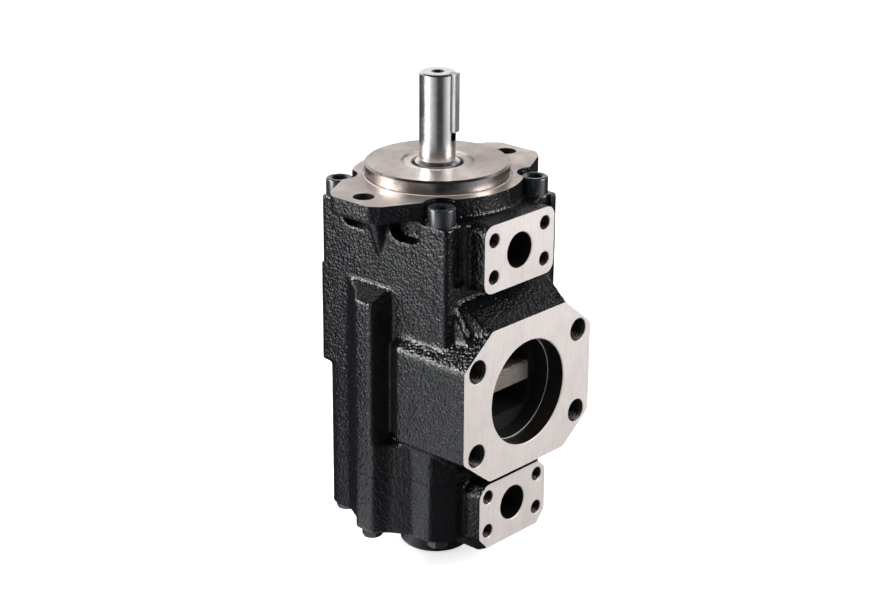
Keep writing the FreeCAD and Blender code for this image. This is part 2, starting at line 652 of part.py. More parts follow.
def front_housing():
    """Front casting: flange, spigot, bearing seat and front pressure port."""
    body = new_body("front_housing")
    block = new_sketch(body, "XY", FRONT_JOINT)
    rectangle(block, -D.side_half, -D.front_reach, D.side_half, D.back_reach, D.corner_round)
    pad(body, block, -D.front_screw_seat - FRONT_JOINT)

    for across in SIDES:
        for along in SIDES:
            hollow = new_sketch(body, "YZ", across * (D.side_half + 1.0))
            points = [(along * D.pocket_near, -D.ear_thick), (along * D.pocket_far, -D.ear_thick),
                      (along * D.pocket_far, -D.pocket_low), (along * D.pocket_near, -D.pocket_low)]
            outline(hollow, points, {2: D.pocket_round, 3: D.pocket_round})
            pocket(body, hollow, D.pocket_deep + 1.0, turned=across < 0)

    for across in SIDES:
        flute = new_sketch(body, "XZ", D.front_reach)
        near, far = across * D.flute_near, across * D.flute_far
        points = [(near, -D.front_screw_seat + 1.0), (far, -D.front_screw_seat + 1.0),
                  (far, -D.flute_low), (near, -D.flute_low)]
        outline(flute, points, {2: D.flute_round, 3: D.flute_round})
        pocket(body, flute, D.flute_deep)

    port = new_sketch(body, "XZ", D.port_1_face)
    wide, tall = D.pressure_long + D.pad_edge, D.pressure_short + D.pad_edge_high
    rectangle(port, -wide, PORT_1 - tall, wide, PORT_1 + tall, D.pad_round)
    pad(body, port, D.port_1_face - D.chamber_radius - D.pad_round, turned=True)
    flange(body)

    notches = new_sketch(body, "XY", 0.0)
    screw_holes(notches, FRONT_SCREWS, D.front_notch)
    pocket(body, notches, D.front_screw_seat)
    holes = new_sketch(body, "XY", -D.front_screw_seat)
    screw_holes(holes, FRONT_SCREWS, D.front_screw_radius + D.screw_clear)
    pocket(body, holes, D.split_front - D.front_screw_seat)
    bolts = new_sketch(body, "XY", 0.0)
    screw_holes(bolts, EAR_HOLES, D.ear_hole_radius)
    pocket(body, bolts, D.ear_thick)

    top, clip_reach = D.pilot_height, D.bearing_outer + D.clip_deep
    turn(body, [(0.0, top + 1.0), (D.dish_radius, top + 1.0), (D.dish_radius, top - D.dish_deep),
                (D.mouth_radius, top - D.dish_deep), (D.mouth_radius, D.seal_top),
                (D.seal_outer, D.seal_top), (D.seal_outer, BEARING_TOP), (D.bearing_outer, BEARING_TOP),
                (D.bearing_outer, BEARING_LOW), (clip_reach, BEARING_LOW), (clip_reach, CLIP_LOW),
                (D.bearing_outer, CLIP_LOW), (D.bearing_outer, CLIP_LOW - D.clip_deep),
                (D.hub_bore, CLIP_LOW - D.clip_deep), (D.hub_bore, CHAMBER_1_TOP),
                (D.chamber_radius, CHAMBER_1_TOP), (D.chamber_radius, RIM_1_TOP + D.rim_room),
                (D.ring_bore, RIM_1_TOP + D.rim_room), (D.ring_bore, FRONT_JOINT - 1.0),
                (0.0, FRONT_JOINT - 1.0)], cut=True)

    bore = new_sketch(body, "XZ", D.port_1_face)
    circle(bore, 0.0, PORT_1, D.pressure_bore)
    pocket(body, bore, D.port_1_face - D.chamber_radius * 0.8)
    port_threads(body, D.port_1_face, PORT_1, D.pressure_long, D.pressure_short,
                 D.pressure_thread, D.pressure_tap_deep)


def suction_box(body):
    """Box round the suction port, tapered at its back, with a slope from the joint above it."""
    wide, flat = D.suction_box_half, D.suction_flat_wide
    tall, short = D.suction_box_high, D.suction_flat_high
    right = [(flat, SUCTION - tall), (wide, SUCTION - short), (wide, SUCTION + short),
             (flat, SUCTION + tall)]
    box = new_sketch(body, "XZ", D.suction_face)
    outline(box, mirrored(right), dict.fromkeys(range(8), D.box_round))
    pad(body, box, D.suction_face - D.box_shoulder, turned=True)
    narrow, less = D.box_back_half, tall - D.box_round
    slim = [(flat, SUCTION - less), (narrow, SUCTION - short), (narrow, SUCTION + short),
            (flat, SUCTION + less)]
    loft(body, section(body, D.box_shoulder, mirrored(right)), section(body, D.box_back, mirrored(slim)))

    root = D.front_reach - D.corner_round
    back = [(D.wedge_foot_half, FRONT_JOINT - D.wedge_high), (D.wedge_half, FRONT_JOINT)]
    edge = [(flat + 0.3, SUCTION + tall - 1.0), (flat, SUCTION + tall)]
    loft(body, section(body, root, mirrored(back)), section(body, D.suction_face, mirrored(edge)))
    for across in SIDES:
        web = new_sketch(body, "YZ", across * (D.wedge_half + D.web_thick / 2))
        top = FRONT_JOINT - D.web_top
        outline(web, [(-root, top), (-D.front_reach, top), (-D.front_reach - D.web_out, top - D.web_high),
                      (-root, top - D.web_high)])
        pad(body, web, D.web_thick, both_ways=True)


def center_housing():
    """Middle casting: both cartridge bores, the suction chamber and the suction port."""
    body = new_body("center_housing")
    upper = new_sketch(body, "XY", FRONT_JOINT - D.pad_high)
    rectangle(upper, -D.side_half, -D.front_reach, D.side_half, D.back_reach + D.pad_proud, D.corner_round)
    pad(body, upper, D.pad_high)
    rear_block(body, REAR_JOINT, FRONT_JOINT - D.pad_high + 1.0)
    side_lobes(body, REAR_JOINT, FRONT_JOINT - D.lobe_start, steep_front=True)
    side_lobes(body, REAR_JOINT, REAR_JOINT + D.lobe_low, steep_front=False)
    for across in SIDES:
        slope = new_sketch(body, "XZ", 0.0)
        start, outer = FRONT_JOINT - D.lobe_start, D.lobe_reach + 1.0
        outline(slope, [(across * D.side_half, start), (across * outer, start - D.lobe_fall),
                        (across * outer, start + 1.0), (across * D.side_half, start + 1.0)])
        pocket(body, slope, D.side_half * 2.0).Midplane = True
    suction_box(body)

    bore = new_sketch(body, "XZ", D.suction_face)
    circle(bore, 0.0, SUCTION, D.suction_bore)
    pocket(body, bore, D.suction_bore_deep)
    throat = new_sketch(body, "XZ", D.suction_face)
    rectangle(throat, -D.throat_half, SUCTION - D.throat_high, D.throat_half, SUCTION + D.throat_high,
              D.throat_round)
    pocket(body, throat, D.suction_face - D.throat_end)
    turn(body, [(0.0, FRONT_JOINT + 1.0), (D.ring_bore, FRONT_JOINT + 1.0), (D.ring_bore, SEAT_1),
                (D.chamber_radius, SEAT_1), (D.chamber_radius, SEAT_2), (D.ring_bore, SEAT_2),
                (D.ring_bore, REAR_JOINT - 1.0), (0.0, REAR_JOINT - 1.0)], cut=True)
    for face, inward in ((FRONT_JOINT, -1.0), (REAR_JOINT, 1.0)):
        outer = D.seal_groove_in + D.seal_groove_wide
        turn(body, [(D.seal_groove_in, face - inward), (outer, face - inward),
                    (outer, face + inward * D.seal_cord),
                    (D.seal_groove_in, face + inward * D.seal_cord)], cut=True)
    bar = new_sketch(body, "XZ", D.suction_face - D.suction_bore_deep)
    rectangle(bar, -D.throat_half - 2.0, SUCTION - D.bridge_high, D.throat_half + 2.0,
              SUCTION + D.bridge_high)
    pad(body, bar, D.bridge_thick, turned=True)

    taps = new_sketch(body, "XY", FRONT_JOINT)
    screw_holes(taps, FRONT_SCREWS, D.front_screw_radius)
    pocket(body, taps, D.front_screw_long + D.front_screw_seat - D.split_front + D.tap_room)
    taps = new_sketch(body, "XY", REAR_JOINT)
    screw_holes(taps, REAR_SCREWS, D.rear_screw_radius)
    pocket(body, taps, D.rear_screw_long - D.cap_thick + D.tap_room, turned=True)
    port_threads(body, D.suction_face, SUCTION, D.suction_long, D.suction_short,
                 D.suction_thread, D.suction_tap_deep)


def pressure_block(body):
    """Block with the rear pressure port, bevelled below and stepped in at its face."""
    half, low = D.block_half, PORT_2 - D.block_low
    step = D.port_2_face - D.block_step
    top = PORT_2 + D.face_high
    right = [(half - D.block_bevel_in, low), (half, low + D.block_bevel_high),
             (half, top - D.face_bevel), (half - D.face_bevel, top)]
    block = new_sketch(body, "XZ", step)
    outline(block, mirrored(right))
    pad(body, block, step - D.chamber_radius - D.pad_round, turned=True)
    side, foot = D.face_half, PORT_2 - D.face_low
    face = [(side - D.face_bevel, foot), (side, foot + D.face_bevel), (side, top - D.face_bevel),
            (side - D.face_bevel, top)]
    loft(body, section(body, step, mirrored(right)), section(body, D.port_2_face, mirrored(face)))


def rear_cap():
    """Rear casting: rear pressure chamber, bush seat and rear pressure port."""
    body = new_body("rear_cap")
    rear_block(body, CAP_FACE, REAR_JOINT)
    side_lobes(body, CAP_FACE, REAR_JOINT, steep_front=False)
    pressure_block(body)
    turn(body, [(0.0, CAP_FACE + 1.0), (D.dome_radius, CAP_FACE + 1.0), (D.dome_radius, CAP_FACE),
                (D.boss_radius + D.boss_round, DOME_LOW), (D.boss_radius, DOME_LOW - D.boss_round),
                (D.boss_radius, BOSS_LOW + D.boss_round), (D.boss_radius - D.boss_round, BOSS_LOW),
                (0.0, BOSS_LOW)])
    holes = new_sketch(body, "XY", REAR_JOINT)
    screw_holes(holes, REAR_SCREWS, D.rear_screw_radius + D.screw_clear)
    pocket(body, holes, D.cap_thick)
    turn(body, [(0.0, REAR_JOINT + 1.0), (D.ring_bore, REAR_JOINT + 1.0),
                (D.ring_bore, RIM_2_LOW - D.rim_room), (D.chamber_radius, RIM_2_LOW - D.rim_room),
                (D.chamber_radius, CHAMBER_2_LOW), (D.hub_bore, CHAMBER_2_LOW), (D.hub_bore, HUB_2_LOW),
                (D.bush_outer, HUB_2_LOW), (D.bush_outer, BUSH_LOW), (0.0, BUSH_LOW)], cut=True)
    bore = new_sketch(body, "XZ", D.port_2_face)
    circle(bore, 0.0, PORT_2, D.pressure_bore)
    pocket(body, bore, D.port_2_face - D.chamber_radius * 0.8)
    port_threads(body, D.port_2_face, PORT_2, D.pressure_long, D.pressure_short,
                 D.pressure_thread, D.pressure_tap_deep)


# Shaft and what it carries

def spline_space(tip):
    """Half width of the space between two spline teeth."""
    return (tip - D.spline_deep / 2) * (math.pi / 2 / SPLINE_TEETH)


def spline_teeth(body, tip, high, long):
    """Leave teeth on the shaft by cutting the spaces between them."""
    half = spline_space(tip)
    sketch = new_sketch(body, "XY", high)
    rectangle(sketch, tip - D.spline_deep, -half, tip + 1.0, half)
    space = pocket(body, sketch, long)
    return repeat(body, [space], SPLINE_TEETH)


def shaft():
    """Stepped shaft with its keyway, centre drilling and two splines."""
    body = new_body("shaft")
    top, tail = D.shaft_end, BUSH_LOW + D.tail_room
    shoulder = D.pilot_height - D.journal_lip
    groove = D.bearing_bore - D.clip_deep
    spline_1_low = SEAT_1 + D.plate_thick
    spline_2_low = SEAT_2 - D.plate_thick - D.ring_2_wide
    turn(body, [(0.0, top), (D.shaft_radius - D.shaft_chamfer, top),
                (D.shaft_radius, top - D.shaft_chamfer),
                (D.shaft_radius, shoulder + D.journal_bevel * 2.0),
                (D.journal_radius - D.journal_bevel, shoulder + D.journal_bevel),
                (D.journal_radius, shoulder), (D.journal_radius, BEARING_TOP),
                (D.bearing_bore, BEARING_TOP), (D.bearing_bore, BEARING_LOW), (groove, BEARING_LOW),
                (groove, CLIP_LOW), (D.spline_1, CLIP_LOW), (D.spline_1, spline_1_low),
                (D.spline_2, spline_1_low), (D.spline_2, spline_2_low),
                (D.rear_journal, spline_2_low - (D.spline_2 - D.rear_journal)),
                (D.rear_journal, tail + D.journal_bevel), (D.rear_journal - D.journal_bevel, tail),
                (0.0, tail)])
    core = D.centre_radius - D.centre_cone
    cone = top - D.centre_rim - D.centre_cone
    turn(body, [(0.0, top + 1.0), (D.centre_radius, top + 1.0), (D.centre_radius, top - D.centre_rim),
                (core, cone), (core, top - D.centre_deep), (0.0, top - D.centre_deep - core / 2)],
         cut=True)
    half = D.key_wide / 2
    keyway = spin(new_sketch(body, "XY", top + 1.0), D.key_turn)
    rectangle(keyway, D.key_top - D.key_wide, -half, D.key_top + 1.0, half)
    pocket(body, keyway, D.key_long + D.keyway_beyond + 1.0)
    spline_teeth(body, D.spline_1, spline_1_low + D.ring_1_wide, D.ring_1_wide)
    spline_teeth(body, D.spline_2, spline_2_low + D.ring_2_wide, D.ring_2_wide)


def shaft_key():
    body = new_body("shaft_key")
    half = D.key_wide / 2
    face = new_sketch(body, "XY", D.shaft_end - D.key_long)
    rectangle(face, D.key_top - D.key_wide, -half, D.key_top, half)
    bar = pad(body, face, D.key_long)
    bevel(body, bar, D.key_bevel, lambda edge: abs(edge.Length - D.key_long.value) < 1e-4
          and edge.CenterOfMass.x > D.shaft_radius.value)
    body.setExpression("Placement.Rotation.Angle", "Dims.key_turn")


def bearing():
    """Deep-groove ball bearing: two rings, balls and cage."""
    middle = BEARING_TOP - D.bearing_wide / 2
    path = D.ball_radius + D.race_play
    for label, wall, land in (("bearing_outer_ring", D.bearing_outer, D.ball_circle + D.race_land),
                              ("bearing_inner_ring", D.bearing_bore, D.ball_circle - D.race_land)):
        body = new_body(label)
        inner, outer = sorted([wall, land], key=value_of)
        turn(body, [(inner, BEARING_LOW), (outer, BEARING_LOW), (outer, BEARING_TOP),
                    (inner, BEARING_TOP)])
        sketch = new_sketch(body, "XZ")
        circle(sketch, D.ball_circle, middle, path)
        race = body.newObject("PartDesign::Groove", "race")
        race.Profile = sketch
        race.ReferenceAxis = (sketch, ["V_Axis"])
        race.Angle = 360

    balls = []
    for step in range(BALLS):
        angle = math.pi / 2 + 2 * math.pi * step / BALLS
        balls.append(part_object("Part::Sphere", "ball", Radius=D.ball_radius,
                                 Placement__Base__x=D.ball_circle * math.cos(angle),
                                 Placement__Base__y=D.ball_circle * math.sin(angle),
                                 Placement__Base__z=middle))
    group("bearing_balls", balls)

    cage = new_body("bearing_cage")
    rim = D.ball_radius + D.cage_rim
    inner, outer = D.ball_circle - D.cage_thick / 2, D.ball_circle + D.cage_thick / 2
    turn(cage, [(inner, middle - rim), (outer, middle - rim), (outer, middle + rim), (inner, middle + rim)])
    window = new_sketch(cage, "XZ")
    circle(window, 0.0, middle, path)
    hole = pocket(cage, window, outer + 1.0)
    repeat(cage, [hole], BALLS)


def clip(label, inner, outer, direction):
    """Split retaining ring with a gap and an eye beside each end."""
    body = new_body(label)
    top = BEARING_LOW - D.clip_play
    sketch = new_sketch(body, "XY", top - D.clip_thick)
    circle(sketch, 0.0, 0.0, outer)
    circle(sketch, 0.0, 0.0, inner)
    pad(body, sketch, D.clip_thick)
    gap = new_sketch(body, "XY", top)
    rectangle(gap, inner - 1.0, -D.clip_gap / 2, outer + 1.0, D.clip_gap / 2)
    pocket(body, gap, D.clip_thick)
    eyes = new_sketch(body, "XY", top)
    for side in SIDES:
        circle(eyes, (inner + outer) / 2, side * (D.clip_gap / 2 + D.clip_eye_in), D.clip_eye)
    pocket(body, eyes, D.clip_thick)
    body.Placement.Rotation = FreeCAD.Rotation(FreeCAD.Vector(0, 0, 1), direction)


def clips():
    """Retaining rings below the bearing: one in the casting, one on the shaft."""
    reach = D.bearing_outer + D.clip_deep - D.clip_play * 2.0
    clip("bearing_clip", reach - D.clip_wide, reach, 40.0)
    foot = D.bearing_bore - D.clip_deep
    clip("shaft_clip", foot, foot + D.clip_wide, -30.0)


def shaft_seal():
    """Lip seal: case on the outside, lip on the shaft's journal."""
    body = new_body("shaft_seal")
    high, low, wall = D.seal_top, D.seal_top - D.seal_wide, D.seal_wall
    lip = D.journal_radius + D.running_play
    neck = lip + D.lip_room
    turn(body, [(D.seal_outer, low), (D.seal_outer, high), (neck, high), (neck, high - wall),
                (neck + wall / 2, high - wall * 1.5), (lip, low + wall * 2.0),
                (neck + wall / 4, low + wall), (neck + wall * 1.5, low + wall),
                (neck + wall * 2.0, high - wall * 1.5), (D.seal_outer - wall, high - wall * 1.5),
                (D.seal_outer - wall, low)])


def rear_bush():
    body = new_body("rear_bush")
    inner = D.rear_journal + D.running_play
    turn(body, [(inner, BUSH_LOW), (D.bush_outer, BUSH_LOW), (D.bush_outer, HUB_2_LOW), (inner, HUB_2_LOW)])


# Pumping cartridges, each built from its wear plate's outer face upwards and then placed

def cam_radius(angle):
    """Two lobes: dwells of 36 degrees joined by smooth ramps."""
    dwell = math.pi / VANES
    folded = abs((angle + math.pi / 2) % math.pi - math.pi / 2)
    ramp = min(max((folded - dwell) / (math.pi / 2 - 2 * dwell), 0.0), 1.0)
    rise = ramp ** 3 * (10 - 15 * ramp + 6 * ramp ** 2)
    return D.cam_minor.value + D.cam_stroke.value * rise


def place(body, base, downward):
    """Put a cartridge piece at its height, turned over in the front cartridge's mirror."""
    if downward:
        body.Placement.Rotation = DOWN
    body.setExpression("Placement.Base.z", text_of(base))


def kidneys(body, top, deep, middle_angle):
    """Two opposite windows with round ends, 40 degrees long between the ends' centres."""
    centre = (D.window_inner + D.window_outer) / 2
    half = (D.window_outer - D.window_inner) / 2
    sketch = new_sketch(body, "XZ")
    sketch.AttachmentOffset = FreeCAD.Placement(
        FreeCAD.Vector(), FreeCAD.Rotation(FreeCAD.Vector(0, 1, 0), middle_angle))
    rectangle(sketch, D.window_inner, top - deep, D.window_outer, top)
    window = body.newObject("PartDesign::Groove", "window")
    window.Profile = sketch
    window.ReferenceAxis = (sketch, ["V_Axis"])
    window.Midplane = True
    window.Angle = 40
    ends = new_sketch(body, "XY", top)
    for angle in (math.radians(middle_angle - 20), math.radians(middle_angle + 20)):
        circle(ends, centre * math.cos(angle), centre * math.sin(angle), half)
    round_ends = pocket(body, ends, deep)
    return repeat(body, [window, round_ends], 2)


def tie_points(angles):
    return [(D.tie_circle * math.cos(math.radians(a)), D.tie_circle * math.sin(math.radians(a)))
            for a in angles]


def wear_plate(label, base, downward, suction_angle):
    body = new_body(label)
    disc = new_sketch(body, "XY")
    circle(disc, 0.0, 0.0, D.ring_bore - D.running_play)
    circle(disc, 0.0, 0.0, D.plate_bore)
    screw_holes(disc, tie_points(TIE_SCREWS + DOWELS), D.tie_radius)
    pad(body, disc, D.plate_thick)
    heads = new_sketch(body, "XY")
    screw_holes(heads, tie_points(TIE_SCREWS), D.tie_head_radius + D.tie_head_play)
    pocket(body, heads, D.tie_head_high + D.tie_sunk, turned=True)
    kidneys(body, D.plate_thick, D.plate_thick, suction_angle)
    place(body, base, downward)


def cam_ring(label, base, downward, wide):
    body = new_body(label)
    sketch = new_sketch(body, "XY", D.plate_thick)
    circle(sketch, 0.0, 0.0, D.ring_bore - D.running_play)
    poles = []
    for step in range(CAM_POINTS):
        angle = 2 * math.pi * step / CAM_POINTS
        radius = cam_radius(angle)
        poles.append(FreeCAD.Vector(radius * math.cos(angle), radius * math.sin(angle), 0))
    track = Part.BSplineCurve()
    track.interpolate(poles, PeriodicFlag=True)
    sketch.addGeometry(track)
    screw_holes(sketch, tie_points(TIE_SCREWS + DOWELS), D.tie_radius)
    pad(body, sketch, wide)
    place(body, base, downward)


def port_plate(label, base, downward, wide, pressure_angle, hub_end):
    """Plate on the pressure side, with a hub that seals in the casting."""
    body = new_body(label)
    low = D.plate_thick + wide
    high = low + D.rim_thick
    rim, hub, cord, tall = D.ring_bore - D.running_play, D.hub_radius, D.seal_cord, D.groove_high
    rim_groove = high - D.groove_below - tall
    hub_groove = hub_end - D.hub_groove_below - tall
    turn(body, [(D.plate_bore, low), (rim, low), (rim, rim_groove), (rim - cord, rim_groove),
                (rim - cord, rim_groove + tall), (rim, rim_groove + tall), (rim, high), (hub, high),
                (hub, hub_groove), (hub - cord, hub_groove), (hub - cord, hub_groove + tall),
                (hub, hub_groove + tall), (hub, hub_end), (D.plate_bore, hub_end)])
    kidneys(body, high, D.rim_thick, pressure_angle)
    holes = new_sketch(body, "XY", low)
    screw_holes(holes, tie_points(TIE_SCREWS + DOWELS), D.tie_radius)
    pocket(body, holes, D.tie_grip + D.tie_room, turned=True)
    place(body, base, downward)
    return rim_groove + tall / 2, hub_groove + tall / 2


def rotor(label, base, downward, wide, tip):
    """Slotted rotor with a splined bore."""
    body = new_body(label)
    low = D.plate_thick + D.rotor_play
    long = wide - D.rotor_play * 2.0
    bore = tip - D.spline_deep + D.spline_play
    disc = new_sketch(body, "XY", low)
    circle(disc, 0.0, 0.0, D.rotor_radius)
    circle(disc, 0.0, 0.0, bore)
    pad(body, disc, long)
    pitch = 360.0 / SPLINE_TEETH
    half_tooth = tip * math.radians(pitch / 2) - spline_space(tip) + D.spline_play / 2
    teeth = spin(new_sketch(body, "XY", low + long), pitch / 2)
    rectangle(teeth, bore - D.spline_deep, -half_tooth, tip + D.spline_play, half_tooth)
    space = pocket(body, teeth, long)
    repeat(body, [space], SPLINE_TEETH)
    foot = D.rotor_radius - D.vane_high - D.vane_below
    half = D.vane_thick / 2 + D.vane_play
    slot = new_sketch(body, "XY", low + long)
    rectangle(slot, foot, -half, D.rotor_radius + 1.0, half)
    cut = pocket(body, slot, long)
    bottom = new_sketch(body, "XY", low + long)
    circle(bottom, foot, 0.0, D.slot_foot)
    drill = pocket(body, bottom, long)
    repeat(body, [cut, drill], VANES)
    place(body, base, downward)


def vane(label, base, downward, wide, angle):
    """Flat vane with a tapered tip, stored fully in its slot."""
    body = new_body(label)
    half, tip = D.vane_thick / 2, D.rotor_radius
    sketch = new_sketch(body, "XY", D.plate_thick + D.rotor_play)
    foot = tip - D.vane_high
    outline(sketch, [(foot, -half), (tip - D.vane_tip, -half), (tip, -half / 3), (tip, half / 3),
                     (tip - D.vane_tip, half), (foot, half)])
    pad(body, sketch, wide - D.rotor_play * 2.0)
    turned = FreeCAD.Rotation(FreeCAD.Vector(0, 0, 1), angle)
    body.Placement.Rotation = turned.multiply(DOWN) if downward else turned
    body.setExpression("Placement.Base.z", text_of(base))


def cartridge(prefix, base, downward, wide, tip, hub_end):
    """All pieces of one pumping cartridge; base is its wear plate's outer face."""
    up = -1.0 if downward else 1.0
    wear_plate(f"{prefix}_wear_plate", base, downward, SUCTION_ANGLE * up)
    cam_ring(f"{prefix}_cam_ring", base, downward, wide)
    rim_seal, hub_seal = port_plate(f"{prefix}_port_plate", base, downward, wide,
                                    PRESSURE_ANGLE * up, hub_end)
    ring_seal(f"{prefix}_rim_seal", D.ring_bore - D.running_play - D.seal_cord / 2, base + up * rim_seal)
    ring_seal(f"{prefix}_hub_seal", D.hub_radius - D.seal_cord / 2, base + up * hub_seal)
    rotor(f"{prefix}_rotor", base, downward, wide, tip)
    for number in range(VANES):
        vane(f"{prefix}_vane_{number + 1:02d}", base, downward, wide, 360.0 * number / VANES)
    long = D.plate_thick + wide + D.tie_grip
    seat = D.tie_head_high + D.tie_sunk
    screws = [socket_screw(x, up * y, base + up * seat, D.tie_head_radius, D.tie_head_high, D.tie_radius,
                           long - seat, D.tie_socket, upward=downward) for x, y in tie_points(TIE_SCREWS)]
    group(f"{prefix}_tie_screws", screws)
    pins = [part_object("Part::Cylinder", "dowel", Radius=D.tie_radius, Height=long,
                        Placement__Base__x=x, Placement__Base__y=up * y,
                        Placement__Base__z=base - long if downward else base)
            for x, y in tie_points(DOWELS)]
    group(f"{prefix}_dowels", pins)


def check_and_write():
    """Stop if anything failed, then write one file for each piece."""
    DOC.recompute()
    broken = [item.Label for item in DOC.Objects if {"Invalid", "Error"} & set(item.State)]
    broken += [piece.Label for piece in PIECES
               if piece.Shape.isNull() or not piece.Shape.isValid() or not piece.Shape.Solids]
    if broken:
        raise RuntimeError("failed: " + ", ".join(broken))
    os.makedirs("parts", exist_ok=True)
    for piece in PIECES:
        piece.Shape.exportStep(f"parts/{piece.Label}.step")
        print(f"{piece.Label}: {len(piece.Shape.Solids)} solid, {piece.Shape.Volume:.1f} mm3")


front_housing()
center_housing()
rear_cap()
group("front_screws", [socket_screw(x, y, -D.front_screw_seat, D.front_head_radius, D.front_head_high,
                                    D.front_screw_radius, D.front_screw_long, D.front_socket)
                       for x, y in FRONT_SCREWS])
group("rear_screws", [hex_screw(x, y, CAP_FACE, D.rear_head_flats, D.rear_head_high,
                                D.rear_screw_radius, D.rear_screw_long) for x, y in REAR_SCREWS])
JOINT_RING = D.seal_groove_in + D.seal_groove_wide / 2
ring_seal("front_joint_seal", JOINT_RING, FRONT_JOINT - D.seal_cord / 2)
ring_seal("rear_joint_seal", JOINT_RING, REAR_JOINT + D.seal_cord / 2)
shaft()
shaft_key()
bearing()
clips()
shaft_seal()
rear_bush()
cartridge("p1", SEAT_1, False, D.ring_1_wide, D.spline_1, CHAMBER_1_TOP - SEAT_1 + D.hub_wall - D.hub_room)
cartridge("p2", SEAT_2, True, D.ring_2_wide, D.spline_2, SEAT_2 - HUB_2_LOW - D.hub_room)
check_and_write()
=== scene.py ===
import json
import math

import bmesh
import bpy
from mathutils import Matrix, Vector

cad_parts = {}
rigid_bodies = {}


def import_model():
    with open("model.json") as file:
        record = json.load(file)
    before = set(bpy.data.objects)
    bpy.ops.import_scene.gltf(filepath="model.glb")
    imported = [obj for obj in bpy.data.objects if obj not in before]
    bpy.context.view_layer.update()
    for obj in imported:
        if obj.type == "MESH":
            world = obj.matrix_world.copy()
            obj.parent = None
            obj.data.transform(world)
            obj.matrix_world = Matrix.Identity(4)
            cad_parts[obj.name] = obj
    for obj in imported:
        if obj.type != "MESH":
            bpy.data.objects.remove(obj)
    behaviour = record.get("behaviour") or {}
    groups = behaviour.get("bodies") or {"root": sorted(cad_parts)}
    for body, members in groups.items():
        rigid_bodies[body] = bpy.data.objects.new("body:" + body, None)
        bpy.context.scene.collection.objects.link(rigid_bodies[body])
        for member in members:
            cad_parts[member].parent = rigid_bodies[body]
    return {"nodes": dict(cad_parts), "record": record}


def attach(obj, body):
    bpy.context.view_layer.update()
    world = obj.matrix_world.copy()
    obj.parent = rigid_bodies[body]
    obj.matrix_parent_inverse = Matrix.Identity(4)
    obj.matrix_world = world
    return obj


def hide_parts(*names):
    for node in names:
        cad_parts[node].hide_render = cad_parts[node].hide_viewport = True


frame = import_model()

# Hydraulic double vane pump: rough painted castings with bare machined faces. It stands on end with
# its shaft up, the mounting face at Z = 0 and the ports towards -Y.
# Shapes are given in millimetres, which to_object turns into metres. Lamps, floor and camera are
# given in metres.

MM = 0.001
ON_AXIS = 1e-6
Y_AXIS, Z_AXIS = 1, 2
SIDES = (-1.0, 1.0)
CORNERS = [(across, along) for across in SIDES for along in SIDES]
# A casting's finishes, as places in its list of materials; the bore and deep finishes are painted
# shade
PAINT, BARE, RAW, BORE, TURNED, SMOOTH, DEEP_SHADE = range(7)
FLOAT, COLOR, VECTOR = "NodeSocketFloat", "NodeSocketColor", "NodeSocketVector"
INTEGER, OBJECT, MATERIAL = "NodeSocketInt", "NodeSocketObject", "NodeSocketMaterial"
GEOMETRY = "NodeSocketGeometry"

scene = bpy.context.scene
for leftover in [thing for thing in bpy.data.objects if thing.name in ("Cube", "Light", "Camera")]:
    bpy.data.objects.remove(leftover)
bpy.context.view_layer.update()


# Main sizes in millimetres

FLANGE_FACE, FRONT_JOINT, REAR_JOINT, CAP_FACE = 0.0, -65.0, -205.0, -248.5
HEAD_SEAT = -15.0
SPIGOT_RADIUS, SPIGOT_TOP, SPIGOT_BEVEL = 50.8, 9.65, 1.5
EAR_SPOTS = [(across * 73.0, 0.0) for across in SIDES]
RING_BORE, CHAMBER, BUSH_BORE = 41.35, 37.0, 20.05

# A port's face is at a Y, its axis at a height. Its bore is turned down to the ledge.
PRESSURE_1 = {"face": -76.2, "height": -38.1, "bore": 12.7, "deep": 50.0, "ledge": 34.0}
PRESSURE_2 = {"face": -73.9, "height": -228.6, "bore": 12.7, "deep": 45.0, "ledge": 34.0}
SUCTION = {"face": -86.4, "height": -139.7, "bore": 38.1, "deep": 26.0, "ledge": 14.0}
PRESSURE_TAPS = {"across": 26.2, "along": 13.1, "radius": 4.76, "pitch": 1.5875, "deep": 22.0}
SUCTION_TAPS = {"across": 53.2, "along": 30.95, "radius": 7.94, "pitch": 2.309, "deep": 27.0}
PORT_OUTWARD = (0.0, -1.0, 0.0)

FRONT_SCREWS = [(across * 47.9, along * 47.9) for across, along in CORNERS]
REAR_SCREWS = [(across * 47.0, y) for across in SIDES for y in (45.5, -45.5)]
REAR_SCREWS += [(across * 66.7, 0.0) for across in SIDES]

# Seam left at each side of a joint plane
SEAM = 0.15
# How far plugs and cutters reach past a joint plane, and how far cutters reach past a bare face
PLUG_PAST, CUT_PAST, FACE_PAST = 2.0, 5.0, 1.0
# Half the side of the block that cuts off what stands proud of a plane
CUTTER_HALF = 390.0


# Mesh tools

def turned_to(direction, origin):
    """Matrix that lays a shape's own Z along a direction square to X, and keeps its X."""
    z = Vector(direction)
    x = Vector((1.0, 0.0, 0.0))
    y = z.cross(x)
    return Matrix.Translation(Vector(origin)) @ Matrix((x, y, z)).transposed().to_4x4()


def upright(spot):
    """Matrix that stands a shape on a spot of the mounting plane."""
    x, y = spot
    return turned_to((0.0, 0.0, 1.0), (x, y, 0.0))


CENTRE = upright((0.0, 0.0))


